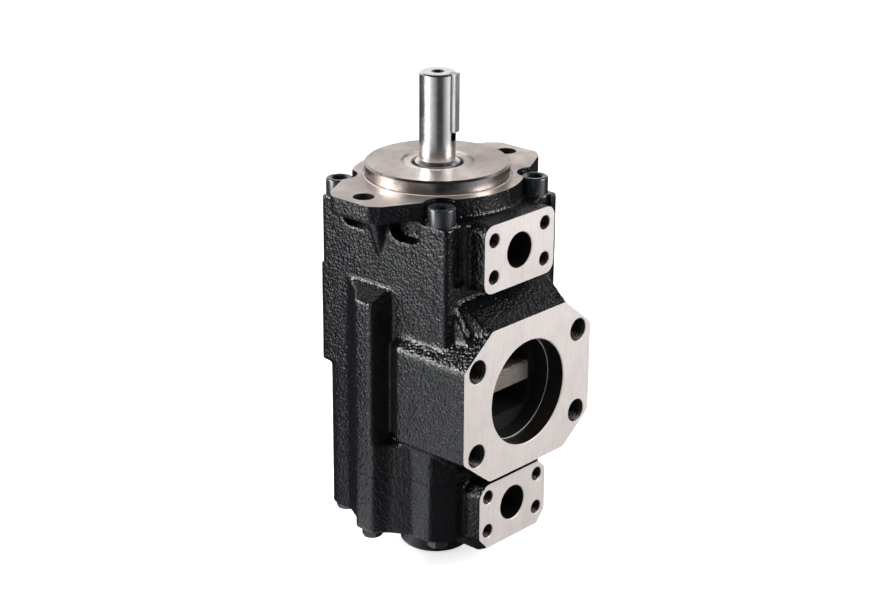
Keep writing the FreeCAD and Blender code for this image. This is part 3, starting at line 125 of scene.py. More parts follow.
def rings(bm, rows, count, place, finish, closed=False):
    """Skin between rows of points; a row is one point, for a pole, or a whole ring.

    The finish is one for all bands or a list with one for each band."""
    made = []
    for row in rows:
        made.append([bm.verts.new(place @ Vector(point)) for point in row])
    pairs = list(zip(made, made[1:]))
    if closed:
        pairs.append((made[-1], made[0]))
    for band, (low, high) in enumerate(pairs):
        coat = finish if isinstance(finish, int) else finish[band]
        for step in range(count):
            after = (step + 1) % count
            if len(low) == 1 and len(high) == 1:
                continue
            if len(low) == 1:
                corners = [low[0], high[after], high[step]]
            elif len(high) == 1:
                corners = [low[step], low[after], high[0]]
            else:
                corners = [low[step], low[after], high[after], high[step]]
            bm.faces.new(corners).material_index = coat


def circle_row(radius, height, count):
    """Ring of points around Z, or one point where the radius is nothing."""
    if radius < ON_AXIS:
        return [(0.0, 0.0, height)]
    angles = [2 * math.pi * step / count for step in range(count)]
    return [(radius * math.cos(angle), radius * math.sin(angle), height) for angle in angles]


def circle_rows(profile, count):
    return [circle_row(radius, height, count) for radius, height in profile]


def lathe(bm, profile, place=CENTRE, count=96, finish=BARE):
    """Solid of revolution from (radius, height) points, open at the axis or closed on itself."""
    rings(bm, circle_rows(profile, count), count, place, finish, closed=profile[0][0] > ON_AXIS)


def stepped(bm, place, start, steps, count=96, finish=BARE):
    """Cylinders one after another from a start height; a step is its radius and where it ends."""
    profile = [(0.0, start)]
    for radius, end in steps:
        profile += [(radius, profile[-1][1]), (radius, end)]
    lathe(bm, profile + [(0.0, profile[-1][1])], place, count, finish)


def prism(bm, ends, place, finish):
    """Straight solid between two like outlines, each a row of points."""
    verts = [[bm.verts.new(place @ Vector(point)) for point in row] for row in ends]
    count = len(verts[0])
    faces = [verts[0][::-1], verts[1]]
    for step in range(count):
        after = (step + 1) % count
        faces.append([verts[0][step], verts[0][after], verts[1][after], verts[1][step]])
    for corners in faces:
        bm.faces.new(corners).material_index = finish


def rounded(half_wide, half_high, radius, steps=6):
    """Outline of a rectangle with round corners."""
    points = []
    for quarter, (across, along) in enumerate(((1, 1), (-1, 1), (-1, -1), (1, -1))):
        for step in range(steps + 1):
            angle = math.pi / 2 * (quarter + step / steps)
            points.append((across * (half_wide - radius) + radius * math.cos(angle),
                           along * (half_high - radius) + radius * math.sin(angle)))
    return points


def to_object(name, bm, materials=(), recalc=True):
    """Turn a shape in millimetres into an object in metres."""
    if recalc:
        bmesh.ops.recalc_face_normals(bm, faces=bm.faces)
    bm.transform(Matrix.Scale(MM, 4))
    mesh = bpy.data.meshes.new(name)
    bm.to_mesh(mesh)
    bm.free()
    for coat in materials:
        mesh.materials.append(coat)
    thing = bpy.data.objects.new(name, mesh)
    scene.collection.objects.link(thing)
    return thing


def bake_modifiers(thing):
    """Keep what the modifiers make as a plain mesh."""
    graph = bpy.context.evaluated_depsgraph_get()
    mesh = bpy.data.meshes.new_from_object(thing.evaluated_get(graph))
    thing.modifiers.clear()
    old = thing.data
    thing.data = mesh
    bpy.data.meshes.remove(old)
    mesh.name = thing.name


def crisp(thing, degrees=32.0):
    """Smooth shading that breaks at real edges."""
    mesh = thing.data
    mesh.shade_smooth()
    mesh.set_sharp_from_angle(angle=math.radians(degrees))


# Node tools

class Graph:
    """Shorthand for one node tree."""

    def __init__(self, tree):
        self.tree = tree

    def feed(self, target, value):
        """Link a socket to an input, or set the input to a plain value."""
        if isinstance(value, bpy.types.NodeSocket):
            self.tree.links.new(value, target)
        else:
            target.default_value = value

    def node(self, kind, settings=None, **inputs):
        """New node; an input is given by its label, or as i0, i1 and so on by its place."""
        made = self.tree.nodes.new(kind)
        for name, value in (settings or {}).items():
            setattr(made, name, value)
        for name, value in inputs.items():
            numbered = name[0] == "i" and name[1:].isdigit()
            self.feed(made.inputs[int(name[1:]) if numbered else name.replace("_", " ")], value)
        return made

    def math(self, operation, first, second=0.0):
        return self.node("ShaderNodeMath", {"operation": operation}, i0=first, i1=second).outputs[0]

    def product(self, first, *others):
        for other in others:
            first = self.math("MULTIPLY", first, other)
        return first

    def total(self, *terms):
        """Sum of (value, share) pairs."""
        parts = [self.math("MULTIPLY", value, share) for value, share in terms]
        result = parts[0]
        for part in parts[1:]:
            result = self.math("ADD", result, part)
        return result

    def blend(self, factor, first, second):
        made = self.node("ShaderNodeMix", {"data_type": "RGBA"}, i0=factor, i6=first, i7=second)
        return made.outputs[2]

    def level(self, value, low, high, to_low=0.0, to_high=1.0):
        """Map a range onto another and hold its ends."""
        made = self.node("ShaderNodeMapRange", {"clamp": True}, i0=value, i1=low, i2=high,
                         i3=to_low, i4=to_high)
        return made.outputs[0]

    def noise(self, place, scale, detail=3.0, rough=0.5):
        return self.node("ShaderNodeTexNoise", Vector=place, Scale=scale, Detail=detail,
                         Roughness=rough).outputs["Fac"]


def node_group(kind, name, inputs, outputs):
    """Empty group: its graph, the sockets it gets and the sockets it has to feed."""
    tree = bpy.data.node_groups.new(name, kind)
    for label, socket, value in inputs:
        item = tree.interface.new_socket(name=label, in_out="INPUT", socket_type=socket)
        if value is not None:
            item.default_value = value
    for label, socket in outputs:
        tree.interface.new_socket(name=label, in_out="OUTPUT", socket_type=socket)
    source = tree.nodes.new("NodeGroupInput").outputs
    target = tree.nodes.new("NodeGroupOutput").inputs
    return Graph(tree), source, target


# Materials

def cast_grain():
    """Sand-cast skin: close bumps and pits, softer swells."""
    graph, source, target = node_group(
        "ShaderNodeTree", "cast_grain",
        [("Place", VECTOR, None), ("Grain", FLOAT, 420.0), ("Swell", FLOAT, 90.0)],
        [("Height", FLOAT), ("Mask", FLOAT)])
    place, grain = source["Place"], source["Grain"]
    finer, drift_share, soften = 1.6, 0.0012, 0.6
    fine = graph.noise(place, graph.math("MULTIPLY", grain, finer), 2.0)
    drift = graph.node("ShaderNodeTexNoise", Vector=place, Scale=grain,
                       Detail=1.0).outputs["Color"]
    moved = graph.node("ShaderNodeMix", {"data_type": "VECTOR"}, i0=drift_share, i4=place, i5=drift)
    cells = graph.node("ShaderNodeTexVoronoi", {"feature": "SMOOTH_F1"}, Vector=moved.outputs[1],
                       Scale=grain, Smoothness=soften).outputs["Distance"]
    swell = graph.noise(place, source["Swell"], 2.0)
    graph.feed(target["Height"], graph.total((fine, 0.5), (cells, 0.55), (swell, 0.6)))
    graph.feed(target["Mask"], swell)
    return graph.tree


def tool_marks():
    """Fine parallel lines and faint cloudiness of a milled or turned face."""
    graph, source, target = node_group(
        "ShaderNodeTree", "tool_marks",
        [("Place", VECTOR, None), ("Lines", FLOAT, 900.0), ("Stretch", FLOAT, 40.0)],
        [("Height", FLOAT), ("Mask", FLOAT)])
    cloud_scale = 55.0
    squeeze = graph.node("ShaderNodeCombineXYZ", X=1.0, Y=1.0,
                         Z=graph.math("DIVIDE", 1.0, source["Stretch"])).outputs[0]
    long = graph.node("ShaderNodeMapping", Vector=source["Place"], Scale=squeeze).outputs[0]
    lines = graph.noise(long, source["Lines"], 2.0, 0.6)
    cloud = graph.noise(source["Place"], cloud_scale, 3.0, 0.6)
    graph.feed(target["Height"], lines)
    graph.feed(target["Mask"], graph.total((lines, 0.5), (cloud, 0.5)))
    return graph.tree


def handling():
    """Oil film and dust: a slow mask that darkens a colour a little."""
    graph, source, target = node_group(
        "ShaderNodeTree", "handling",
        [("Place", VECTOR, None), ("Color", COLOR, (0.5, 0.5, 0.5, 1.0)), ("Amount", FLOAT, 0.2)],
        [("Color", COLOR), ("Mask", FLOAT)])
    film_scale, darkest = 28.0, 0.55
    mask = graph.level(graph.noise(source["Place"], film_scale, 4.0, 0.6), 0.35, 0.7)
    dark = graph.node("ShaderNodeHueSaturation", Value=darkest, Color=source["Color"]).outputs[0]
    share = graph.math("MULTIPLY", mask, source["Amount"])
    graph.feed(target["Color"], graph.blend(share, source["Color"], dark))
    graph.feed(target["Mask"], mask)
    return graph.tree


CAST_GRAIN, TOOL_MARKS, HANDLING = cast_grain(), tool_marks(), handling()

# Roughness under the film's thinnest and thickest places, as shares of the material's own
FILM_GLOSS = (0.88, 1.15)
# Where the relief's mask starts and ends to change gloss and colour
GLOSS_MASK, STREAK_MASK = (0.3, 0.7), (0.4, 0.62)
STREAK_DARK = 0.5
# Painted shade for the shaft's keyway foot and drilling
RECESS_SHADE_COLOR = (0.03, 0.028, 0.026, 1.0)


def sanded(grain, swell, depth, swing):
    """Relief of a cast skin: scales per metre, bump depth in millimetres, swing of roughness."""
    return CAST_GRAIN, {"Grain": grain, "Swell": swell}, depth, swing


def cut(lines, stretch, depth, swing):
    """Relief of a machined face; a stretch above 1 draws its lines along Z, below 1 around Z."""
    return TOOL_MARKS, {"Lines": lines, "Stretch": stretch}, depth, swing


def material(name, color, rough, metal, relief, amount=0.2, specular=0.5, recess=None, streak=0.0):
    """Surface with an oil film of some amount, uneven gloss, a relief and faint dark streaks.

    What lies within the recess radius of the Z axis and below the recess height is painted dark as
    shade, in the keyway's foot and the drilling."""
    made = bpy.data.materials.new(name)
    made.use_nodes = True
    graph = Graph(made.node_tree)
    shader = made.node_tree.nodes["Principled BSDF"].inputs
    place = graph.node("ShaderNodeTexCoord").outputs["Object"]
    film = graph.node("ShaderNodeGroup", {"node_tree": HANDLING}, Place=place, Color=(*color, 1.0),
                      Amount=amount).outputs
    tone = film["Color"]
    # Painted shade: darken the keyway's foot and the drilling
    if recess:
        radius, height = recess
        spot = graph.node("ShaderNodeSeparateXYZ", Vector=place).outputs
        squares = [graph.math("POWER", spot[axis], 2.0) for axis in ("X", "Y")]
        reach = graph.math("SQRT", graph.math("ADD", *squares))
        inside = graph.product(graph.math("LESS_THAN", reach, radius * MM),
                               graph.math("LESS_THAN", spot["Z"], height * MM))
        tone = graph.blend(inside, tone, RECESS_SHADE_COLOR)
    tree, values, depth, swing = relief
    skin = graph.node("ShaderNodeGroup", {"node_tree": tree}, Place=place, **values).outputs
    bump = graph.node("ShaderNodeBump", Strength=1.0, Distance=depth * MM, Height=skin["Height"])
    smooth, dull = (rough * share for share in FILM_GLOSS)
    gloss = graph.math("ADD", graph.level(film["Mask"], 0.0, 1.0, smooth, dull),
                       graph.level(skin["Mask"], *GLOSS_MASK, -swing, swing))
    if streak:
        worn = tuple(channel * STREAK_DARK for channel in color)
        tone = graph.blend(graph.level(skin["Mask"], *STREAK_MASK, 0.0, streak), tone, (*worn, 1.0))
    for label, value in (("Metallic", metal), ("Specular IOR Level", specular),
                         ("Normal", bump.outputs[0]), ("Base Color", tone), ("Roughness", gloss)):
        graph.feed(shader[label], value)
    return made


LOOKS = {
    "casting_paint": dict(color=(0.004, 0.0042, 0.005), rough=0.14, metal=0.0, amount=0.3,
                          relief=sanded(460.0, 110.0, 0.8, 0.04), specular=0.45),
    "bare_iron": dict(color=(0.72, 0.66, 0.635), rough=0.5, metal=0.35, amount=0.35,
                      relief=cut(520.0, 12.0, 0.03, 0.1), streak=0.22),
    "turned_iron": dict(color=(0.64, 0.56, 0.525), rough=0.42, metal=0.9, amount=0.3,
                        relief=cut(700.0, 0.06, 0.01, 0.08), streak=0.22),
    "smooth_iron": dict(color=(0.30, 0.275, 0.26), rough=0.27, metal=1.0,
                        relief=cut(1600.0, 0.06, 0.012, 0.05)),
    # Dark finish of bores, holes and joint faces: painted shade
    "bore_iron": dict(color=(0.055, 0.052, 0.05), rough=0.4, metal=0.9,
                      relief=cut(1500.0, 1.0, 0.012, 0.05)),
    # Near black for the deep insides of bores and the chamber: painted shade
    "deep_iron": dict(color=(0.012, 0.012, 0.012), rough=0.5, metal=0.2,
                      relief=cut(900.0, 1.0, 0.02, 0.05), specular=0.3),
    "raw_iron": dict(color=(0.24, 0.21, 0.19), rough=0.5, metal=0.5, amount=0.5,
                     relief=sanded(700.0, 120.0, 1.0, 0.06)),
    # The shaft's keyway foot and drilling get painted shade
    "ground_steel": dict(color=(0.60, 0.59, 0.58), rough=0.26, metal=1.0, amount=0.1,
                         relief=cut(2200.0, 0.08, 0.006, 0.04), recess=(12.5, 71.3)),
    "key_steel": dict(color=(0.50, 0.49, 0.48), rough=0.42, metal=0.9, amount=0.12,
                      relief=cut(1600.0, 25.0, 0.012, 0.05)),
    "dark_steel": dict(color=(0.085, 0.09, 0.098), rough=0.26, metal=0.85, amount=0.25,
                       relief=cut(1300.0, 1.0, 0.01, 0.05)),
    "spring_steel": dict(color=(0.17, 0.17, 0.18), rough=0.4, metal=1.0,
                         relief=cut(1500.0, 1.0, 0.01, 0.05)),
    "seal_rubber": dict(color=(0.014, 0.014, 0.015), rough=0.55, metal=0.0,
                        relief=sanded(900.0, 200.0, 0.03, 0.05)),
    "bronze": dict(color=(0.55, 0.38, 0.19), rough=0.34, metal=1.0,
                   relief=cut(1500.0, 0.1, 0.01, 0.05)),
    "plate_iron": dict(color=(0.34, 0.32, 0.30), rough=0.36, metal=1.0,
                       relief=cut(1500.0, 1.0, 0.01, 0.05)),
}
MATERIALS = {name: material(name, **look) for name, look in LOOKS.items()}

CASTING = [MATERIALS[name] for name in ("casting_paint", "bare_iron", "raw_iron", "bore_iron",
                                        "turned_iron", "smooth_iron", "deep_iron")]

for slot in frame["record"]["materials"]:
    assert slot["slot"] in MATERIALS
for entry in frame["record"]["subparts"]:
    piece = frame["nodes"][entry["node"]]
    for holder in piece.material_slots:
        holder.material = MATERIALS[entry["material_slot"]]
for holder in frame["nodes"]["shaft_key"].material_slots:
    holder.material = MATERIALS["key_steel"]


# Castings

def sand_skin():
    """Geometry nodes that lift a casting's skin by soft noise along its normals."""
    graph, source, target = node_group(
        "GeometryNodeTree", "sand_skin",
        [("Geometry", GEOMETRY, None), ("Grain", FLOAT, 300.0), ("Grain Height", FLOAT, 0.00012),
         ("Swell", FLOAT, 60.0), ("Swell Height", FLOAT, 0.0004), ("Material", MATERIAL, None)],
        [("Geometry", GEOMETRY)])
    place = graph.node("GeometryNodeInputPosition").outputs[0]
    normal = graph.node("GeometryNodeInputNormal").outputs[0]
    lift = 0.0
    for wave_name in ("Grain", "Swell"):
        wave = graph.math("SUBTRACT", graph.noise(place, source[wave_name], 2.0), 0.5)
        lift = graph.math("ADD", graph.math("MULTIPLY", wave, source[wave_name + " Height"]), lift)
    offset = graph.node("ShaderNodeVectorMath", {"operation": "SCALE"}, i0=normal, Scale=lift)
    moved = graph.node("GeometryNodeSetPosition", Geometry=source["Geometry"],
                       Offset=offset.outputs[0])
    realized = graph.node("GeometryNodeRealizeInstances", Geometry=moved.outputs[0])
    painted = graph.node("GeometryNodeSetMaterial", Geometry=realized.outputs[0],
                         Material=source["Material"])
    graph.feed(target["Geometry"], painted.outputs[0])
    return graph.tree


SAND_SKIN = sand_skin()


def set_inputs(modifier, **values):
    """Give a modifier's inputs their values by the sockets' identifiers."""
    for item in modifier.node_group.interface.items_tree:
        label = item.name.replace(" ", "_")
        if item.in_out == "INPUT" and label in values:
            modifier[item.identifier] = values[label]


def rough_casting(name, node, pushed, plugs, voxel, rounds):
    """The cast body before machining: bores filled, machined faces left proud, all edges soft.

    Each of pushed is an axis, a plane's place on it and how far the plane moves. The voxel is in
    millimetres, and more rounds make softer edges."""
    same_place, same_plane = 1e-6, 0.02
    bm = bmesh.new()
    bm.from_mesh(frame["nodes"][node].data)
    bmesh.ops.remove_doubles(bm, verts=bm.verts, dist=same_place)
    bm.transform(Matrix.Scale(1.0 / MM, 4))
    for axis, height, proud in pushed:
        for vert in bm.verts:
            if abs(vert.co[axis] - height) < same_plane:
                vert.co[axis] += proud
    plugs(bm)
    body = to_object(name, bm, CASTING[:1], recalc=False)
    remesh = body.modifiers.new("remesh", "REMESH")
    remesh.mode = "VOXEL"
    remesh.voxel_size = voxel * MM
    soft = body.modifiers.new("soft", "SMOOTH")
    soft.factor = 0.5
    soft.iterations = rounds
    skin = body.modifiers.new("skin", "NODES")
    skin.node_group = SAND_SKIN
    set_inputs(skin, Material=CASTING[PAINT])
    bake_modifiers(body)
    return body


def machined(body, steps):
    """Cut and add crisp forms; the shapes of one step don't touch each other."""
    for coat in CASTING[len(body.data.materials):]:
        body.data.materials.append(coat)
    for operation, shapes in steps:
        bm = bmesh.new()
        shapes(bm)
        tool = to_object("tool", bm, CASTING)
        change = body.modifiers.new("cut", "BOOLEAN")
        change.operation = operation
        change.object = tool
        change.solver = "MANIFOLD"
        change.material_mode = "INDEX"
        bake_modifiers(body)
        bpy.data.objects.remove(tool)
    crisp(body)


def above_plane(axis, height, outward, finish=BARE):
    """Step that cuts off all that stands proud of a machined plane."""
    def shapes(bm):
        low, high = [-CUTTER_HALF] * 3, [CUTTER_HALF] * 3
        if outward > 0:
            low[axis] = height
        else:
            high[axis] = height
        ends = [[(low[0], low[1], z), (high[0], low[1], z), (high[0], high[1], z),
                 (low[0], high[1], z)] for z in (low[2], high[2])]
        prism(bm, ends, CENTRE, finish)
    return "DIFFERENCE", shapes


def port_place(port, face, across=0.0, along=0.0):
    """Matrix on a plane parallel to a port's face, with Z out of the port."""
    return turned_to(PORT_OUTWARD, (across, face, port["height"] + along))


def tap_places(port, taps, face):
    """Such a matrix for each of a port's four tapped holes."""
    return [port_place(port, face, across * taps["across"], along * taps["along"])
            for across, along in CORNERS]


def plug_port(bm, port, taps, deep):
    """Fill a port's bore and tapped holes up to just below its face, which stands proud by more."""
    inset, past_tap, past_bore = 1.5, 1.2, 0.8
    face = port["face"] - inset
    for place in tap_places(port, taps, face):
        stepped(bm, place, -deep, [(taps["radius"] + past_tap, 0.0)], count=32)
    stepped(bm, port_place(port, face), -deep, [(port["bore"] + past_bore, 0.0)], count=64)


def thread(bm, place, taps, count=28):
    """Tapped hole as a solid: a spiral groove, a countersink at the mouth and a drill point."""
    radius, pitch, deep = taps["radius"], taps["pitch"], taps["deep"]
    groove, rows_per_turn, mouth, top = pitch * 0.55, 6, 0.9, 2.0
    # Below the mouth the thread gets the dark bore finish, painted shade
    bright_from = -mouth * 0.75
    rows = [circle_row(0.0, -deep - radius * 0.5, count)]
    finishes = [BORE]
    steps = int(deep / pitch * rows_per_turn)
    for level in range(steps + 1):
        height = -deep + deep * level / steps
        row = []
        for step in range(count):
            phase = (height / pitch + step / count) % 1.0
            reach = radius - groove * abs(2.0 * phase - 1.0)
            reach = max(reach, radius + mouth + height)
            angle = 2 * math.pi * step / count
            row.append((reach * math.cos(angle), reach * math.sin(angle), height))
        rows.append(row)
        finishes.append(BARE if height > bright_from else BORE)
    rows += circle_rows([(radius + mouth, top), (0.0, top)], count)
    rings(bm, rows, count, place, finishes + [BARE])


def port_holes(bm, port, taps):
    """Bore with a small bevel and a ledge, and four tapped holes."""
    bevel, ledge_step = 0.6, 0.7
    bore, deep, ledge = port["bore"], -port["deep"], -port["ledge"]
    # Past the ledge the bore is near black and before it dark, both painted shade; the ledge's face
    # stays bare
    lathe(bm, [(0.0, deep), (bore - ledge_step, deep), (bore - ledge_step, ledge), (bore, ledge),
               (bore, -bevel), (bore + bevel, 0.0), (bore + bevel, FACE_PAST), (0.0, FACE_PAST)],
          port_place(port, port["face"]), finish=[DEEP_SHADE, DEEP_SHADE, BARE, BORE, BARE, BARE, BARE])
    for place in tap_places(port, taps, port["face"]):
        thread(bm, place, taps)


def front_plugs(bm):
    """Fill the port, the screw holes up to their head seats, the ear holes and the inside."""
    screw_hole, ear_hole, mouth, inside, top = 7.4, 7.8, 49.0, 45.0, 1.5
    plug_port(bm, PRESSURE_1, PRESSURE_TAPS, deep=36.0)
    for spot in FRONT_SCREWS:
        stepped(bm, upright(spot), FRONT_JOINT - PLUG_PAST, [(screw_hole, HEAD_SEAT + 0.1)],
                count=32)
    for spot in EAR_SPOTS:
        stepped(bm, upright(spot), -12.2, [(ear_hole, top)], count=32)
    stepped(bm, CENTRE, -12.0, [(mouth, top)])
    stepped(bm, CENTRE, FRONT_JOINT - PLUG_PAST, [(inside, -12.5)])


def front_spigot(bm):
    below = FLANGE_FACE - FACE_PAST
    lathe(bm, [(0.0, below), (SPIGOT_RADIUS, below), (SPIGOT_RADIUS, SPIGOT_TOP - SPIGOT_BEVEL),
               (SPIGOT_RADIUS - SPIGOT_BEVEL, SPIGOT_TOP), (0.0, SPIGOT_TOP)],
          count=160, finish=[TURNED, SMOOTH, SMOOTH, TURNED])


def front_holes(bm):
    """Port, screw holes with the milled notches of their heads, ear holes, spigot's undercut."""
    screw_hole, notch, notch_top = 6.75, 10.4, -5.0
    ear_hole, ear_bevel, under, over = 7.15, 0.3, -14.0, 4.0
    undercut, wide = 0.5, 1.6
    port_holes(bm, PRESSURE_1, PRESSURE_TAPS)
    for spot in FRONT_SCREWS:
        stepped(bm, upright(spot), FRONT_JOINT - CUT_PAST,
                [(screw_hole, HEAD_SEAT), (notch, notch_top)], count=48)
    for spot in EAR_SPOTS:
        # The ear holes get the dark bore finish, painted shade
        lathe(bm, [(0.0, under), (ear_hole, under), (ear_hole, -ear_bevel),
                   (ear_hole + ear_bevel, 0.0), (ear_hole + ear_bevel, over), (0.0, over)],
              upright(spot), count=48, finish=BORE)
    lathe(bm, [(SPIGOT_RADIUS, -undercut), (SPIGOT_RADIUS + wide, -undercut),
               (SPIGOT_RADIUS + wide, FACE_PAST), (SPIGOT_RADIUS, FACE_PAST)], count=160)


def front_inside(bm):
    """Recess in the spigot, lip, seal bore, bearing seat with its clip groove, shaft bore, chamber
    and cartridge bore, from the top down."""
    start, recess, lip, seal_bore, seat, groove = 12.0, 25.5, 18.5, 23.5, 31.0, 31.8
    stepped(bm, CENTRE, start,
            [(recess, 8.45), (lip, 6.5), (seal_bore, -2.0), (seat, -18.0), (groove, -19.7),
             (seat, -20.5), (BUSH_BORE, -27.0), (CHAMBER, -57.0),
             (RING_BORE, FRONT_JOINT - CUT_PAST)])


def middle_plugs(bm):
    """Fill the suction port, the inside and the screw holes of both joints."""
    inside, front_hole, front_foot, rear_hole, rear_foot = 48.5, 7.0, -101.0, 4.8, -177.0
    plug_port(bm, SUCTION, SUCTION_TAPS, deep=50.0)
    stepped(bm, CENTRE, REAR_JOINT - PLUG_PAST, [(inside, FRONT_JOINT + PLUG_PAST)])
    for spot in FRONT_SCREWS:
        stepped(bm, upright(spot), front_foot, [(front_hole, FRONT_JOINT + PLUG_PAST)], count=32)
    for spot in REAR_SCREWS:
        stepped(bm, upright(spot), REAR_JOINT - PLUG_PAST, [(rear_hole, rear_foot)], count=32)


def middle_holes(bm):
    """Suction port and the blind holes that the screws of both joints are driven into."""
    front_hole, front_foot, rear_hole, rear_foot = 6.35, -99.0, 4.0, -178.5
    port_holes(bm, SUCTION, SUCTION_TAPS)
    for spot in FRONT_SCREWS:
        stepped(bm, upright(spot), front_foot, [(front_hole, FRONT_JOINT + CUT_PAST)], count=32)
    for spot in REAR_SCREWS:
        stepped(bm, upright(spot), REAR_JOINT - CUT_PAST, [(rear_hole, rear_foot)], count=32)


def middle_throat(bm):
    """Opening from the suction port to the chamber, along Y."""
    outline = rounded(half_wide=30.0, half_high=24.5, radius=8.0)
    port_end, chamber_end = -62.0, -18.0
    # Its walls are near black, painted shade
    prism(bm, [[(x, y, z) for x, y in outline] for z in (port_end, chamber_end)],
          turned_to((0.0, 1.0, 0.0), (0.0, 0.0, SUCTION["height"])), DEEP_SHADE)


def middle_inside(bm):
    """Both cartridge bores and the chamber between them."""
    # Near black walls, painted shade
    stepped(bm, CENTRE, FRONT_JOINT + CUT_PAST,
            [(RING_BORE, -112.0), (CHAMBER, -167.4), (RING_BORE, REAR_JOINT - CUT_PAST)],
            finish=DEEP_SHADE)


def middle_grooves(bm):
    """Grooves of the joint seals, cut from past the joint planes."""
    inner, outer, past, deep = 44.2, 47.2, 1.0, 2.0
    for low, high in ((FRONT_JOINT - deep, FRONT_JOINT + past),
                      (REAR_JOINT - past, REAR_JOINT + deep)):
        lathe(bm, [(inner, low), (outer, low), (outer, high), (inner, high)], count=128)


def middle_bridge(bm):
    """Cast bar across the suction throat, with bevelled edges."""
    near, far, half_high, bevel, half_long = -60.4, -48.4, 7.5, 1.5, 32.0
    outline = [(near, bevel - half_high), (near + bevel, -half_high), (far - bevel, -half_high),
               (far, bevel - half_high), (far, half_high - bevel), (far - bevel, half_high),
               (near + bevel, half_high), (near, half_high - bevel)]
    ends = [[(x, y, SUCTION["height"] + z) for y, z in outline] for x in (-half_long, half_long)]
    prism(bm, ends, CENTRE, RAW)


def rear_plugs(bm):
    """Fill the rear port, the inside, the bush seat with what lies below it and the screw holes."""
    inside, bush_seat, screw_hole = 43.0, 22.0, 5.4
    plug_port(bm, PRESSURE_2, PRESSURE_TAPS, deep=36.0)
    stepped(bm, CENTRE, -241.0, [(inside, REAR_JOINT + PLUG_PAST)])
    stepped(bm, CENTRE, -267.0, [(bush_seat, -240.0)], count=64)
    for spot in REAR_SCREWS:
        stepped(bm, upright(spot), CAP_FACE + 0.1, [(screw_hole, REAR_JOINT + PLUG_PAST)], count=32)


def rear_holes(bm):
    """Rear port and the screw holes with the seats of their heads."""
    below, seat, screw_hole = -256.0, 9.0, 4.4
    port_holes(bm, PRESSURE_2, PRESSURE_TAPS)
    for spot in REAR_SCREWS:
        stepped(bm, upright(spot), below, [(seat, CAP_FACE), (screw_hole, REAR_JOINT + CUT_PAST)],
                count=48)


def rear_inside(bm):
    """Cartridge bore, chamber, bush seat and the space below the shaft."""
    below_shaft = 14.0
    stepped(bm, CENTRE, REAR_JOINT + CUT_PAST,
            [(RING_BORE, -216.4), (CHAMBER, -242.0), (BUSH_BORE, -250.0), (below_shaft, -266.0)])


def build_castings():
    # Joint faces get the dark bore finish and the insides the near black one, both painted shade
    front = rough_casting("front_casting", "front_housing",
                          [(Y_AXIS, PRESSURE_1["face"], -3.0), (Z_AXIS, FRONT_JOINT, -3.0),
                           (Z_AXIS, FLANGE_FACE, 2.0), (Z_AXIS, HEAD_SEAT, 0.6)],
                          front_plugs, voxel=1.15, rounds=4)
    machined(front, [above_plane(Z_AXIS, FLANGE_FACE, 1, TURNED),
                     above_plane(Z_AXIS, FRONT_JOINT + SEAM, -1, BORE),
                     above_plane(Y_AXIS, PRESSURE_1["face"], -1), ("UNION", front_spigot),
                     ("DIFFERENCE", front_holes), ("DIFFERENCE", front_inside)])
    middle = rough_casting("middle_casting", "center_housing",
                           [(Y_AXIS, SUCTION["face"], -2.0), (Z_AXIS, FRONT_JOINT, 3.0),
                            (Z_AXIS, REAR_JOINT, -3.0)],
                           middle_plugs, voxel=1.3, rounds=9)
    machined(middle, [above_plane(Z_AXIS, FRONT_JOINT - SEAM, 1, BORE),
                      above_plane(Z_AXIS, REAR_JOINT + SEAM, -1, BORE),
                      above_plane(Y_AXIS, SUCTION["face"], -1), ("DIFFERENCE", middle_holes),
                      ("DIFFERENCE", middle_throat), ("DIFFERENCE", middle_inside),
                      ("DIFFERENCE", middle_grooves), ("UNION", middle_bridge)])
    rear = rough_casting("rear_casting", "rear_cap",
                         [(Y_AXIS, PRESSURE_2["face"], -3.0), (Z_AXIS, REAR_JOINT, 3.0),
                          (Z_AXIS, CAP_FACE, -0.6)],
                         rear_plugs, voxel=1.2, rounds=6)
    machined(rear, [above_plane(Z_AXIS, REAR_JOINT - SEAM, 1, BORE),
                    above_plane(Y_AXIS, PRESSURE_2["face"], -1),
                    ("DIFFERENCE", rear_holes), ("DIFFERENCE", rear_inside)])
    for piece, node in ((front, "front_housing"), (middle, "center_housing"), (rear, "rear_cap")):
        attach(piece, "housing")
        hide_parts(node)


build_castings()


# Screws, placed by geometry nodes

def screw_set():
    """Geometry nodes that set one screw on every point, each turned a little differently."""
    graph, source, target = node_group(
        "GeometryNodeTree", "screw_set",
        [("Geometry", GEOMETRY, None), ("Screw", OBJECT, None), ("Size", FLOAT, 1.0),
         ("Turn", FLOAT, 1.0), ("Seed", INTEGER, 3), ("Material", MATERIAL, None)],
        [("Geometry", GEOMETRY)])
    points = graph.node("GeometryNodeMeshToPoints", Mesh=source["Geometry"]).outputs[0]
    model = graph.node("GeometryNodeObjectInfo", Object=source["Screw"]).outputs["Geometry"]
    turn = graph.node("FunctionNodeRandomValue", {"data_type": "FLOAT"}, i2=0.0, i3=source["Turn"],
                      Seed=source["Seed"])
    angles = graph.node("ShaderNodeCombineXYZ", Z=turn.outputs[1])
    placed = graph.node("GeometryNodeInstanceOnPoints", Points=points, Instance=model,
                        Rotation=angles.outputs[0], Scale=source["Size"])
    realized = graph.node("GeometryNodeRealizeInstances", Geometry=placed.outputs[0])
    painted = graph.node("GeometryNodeSetMaterial", Geometry=realized.outputs[0],
                         Material=source["Material"])
    graph.feed(target["Geometry"], painted.outputs[0])
    return graph.tree


SCREW_SET = screw_set()


def hexagon_row(flats, height, count, chamfer_from=None):
    """Hexagon as a ring of points; with chamfer_from, its corners drop along a 30 degree cone."""
    slope = 0.577
    row = []
    for step in range(count):
        angle = 2 * math.pi * step / count
        folded = (angle + math.pi / 6) % (math.pi / 3) - math.pi / 6
        radius = flats / 2 / math.cos(folded)
        drop = 0.0 if chamfer_from is None else (radius - chamfer_from) * slope
        row.append((radius * math.cos(angle), radius * math.sin(angle), height - drop))
    return row


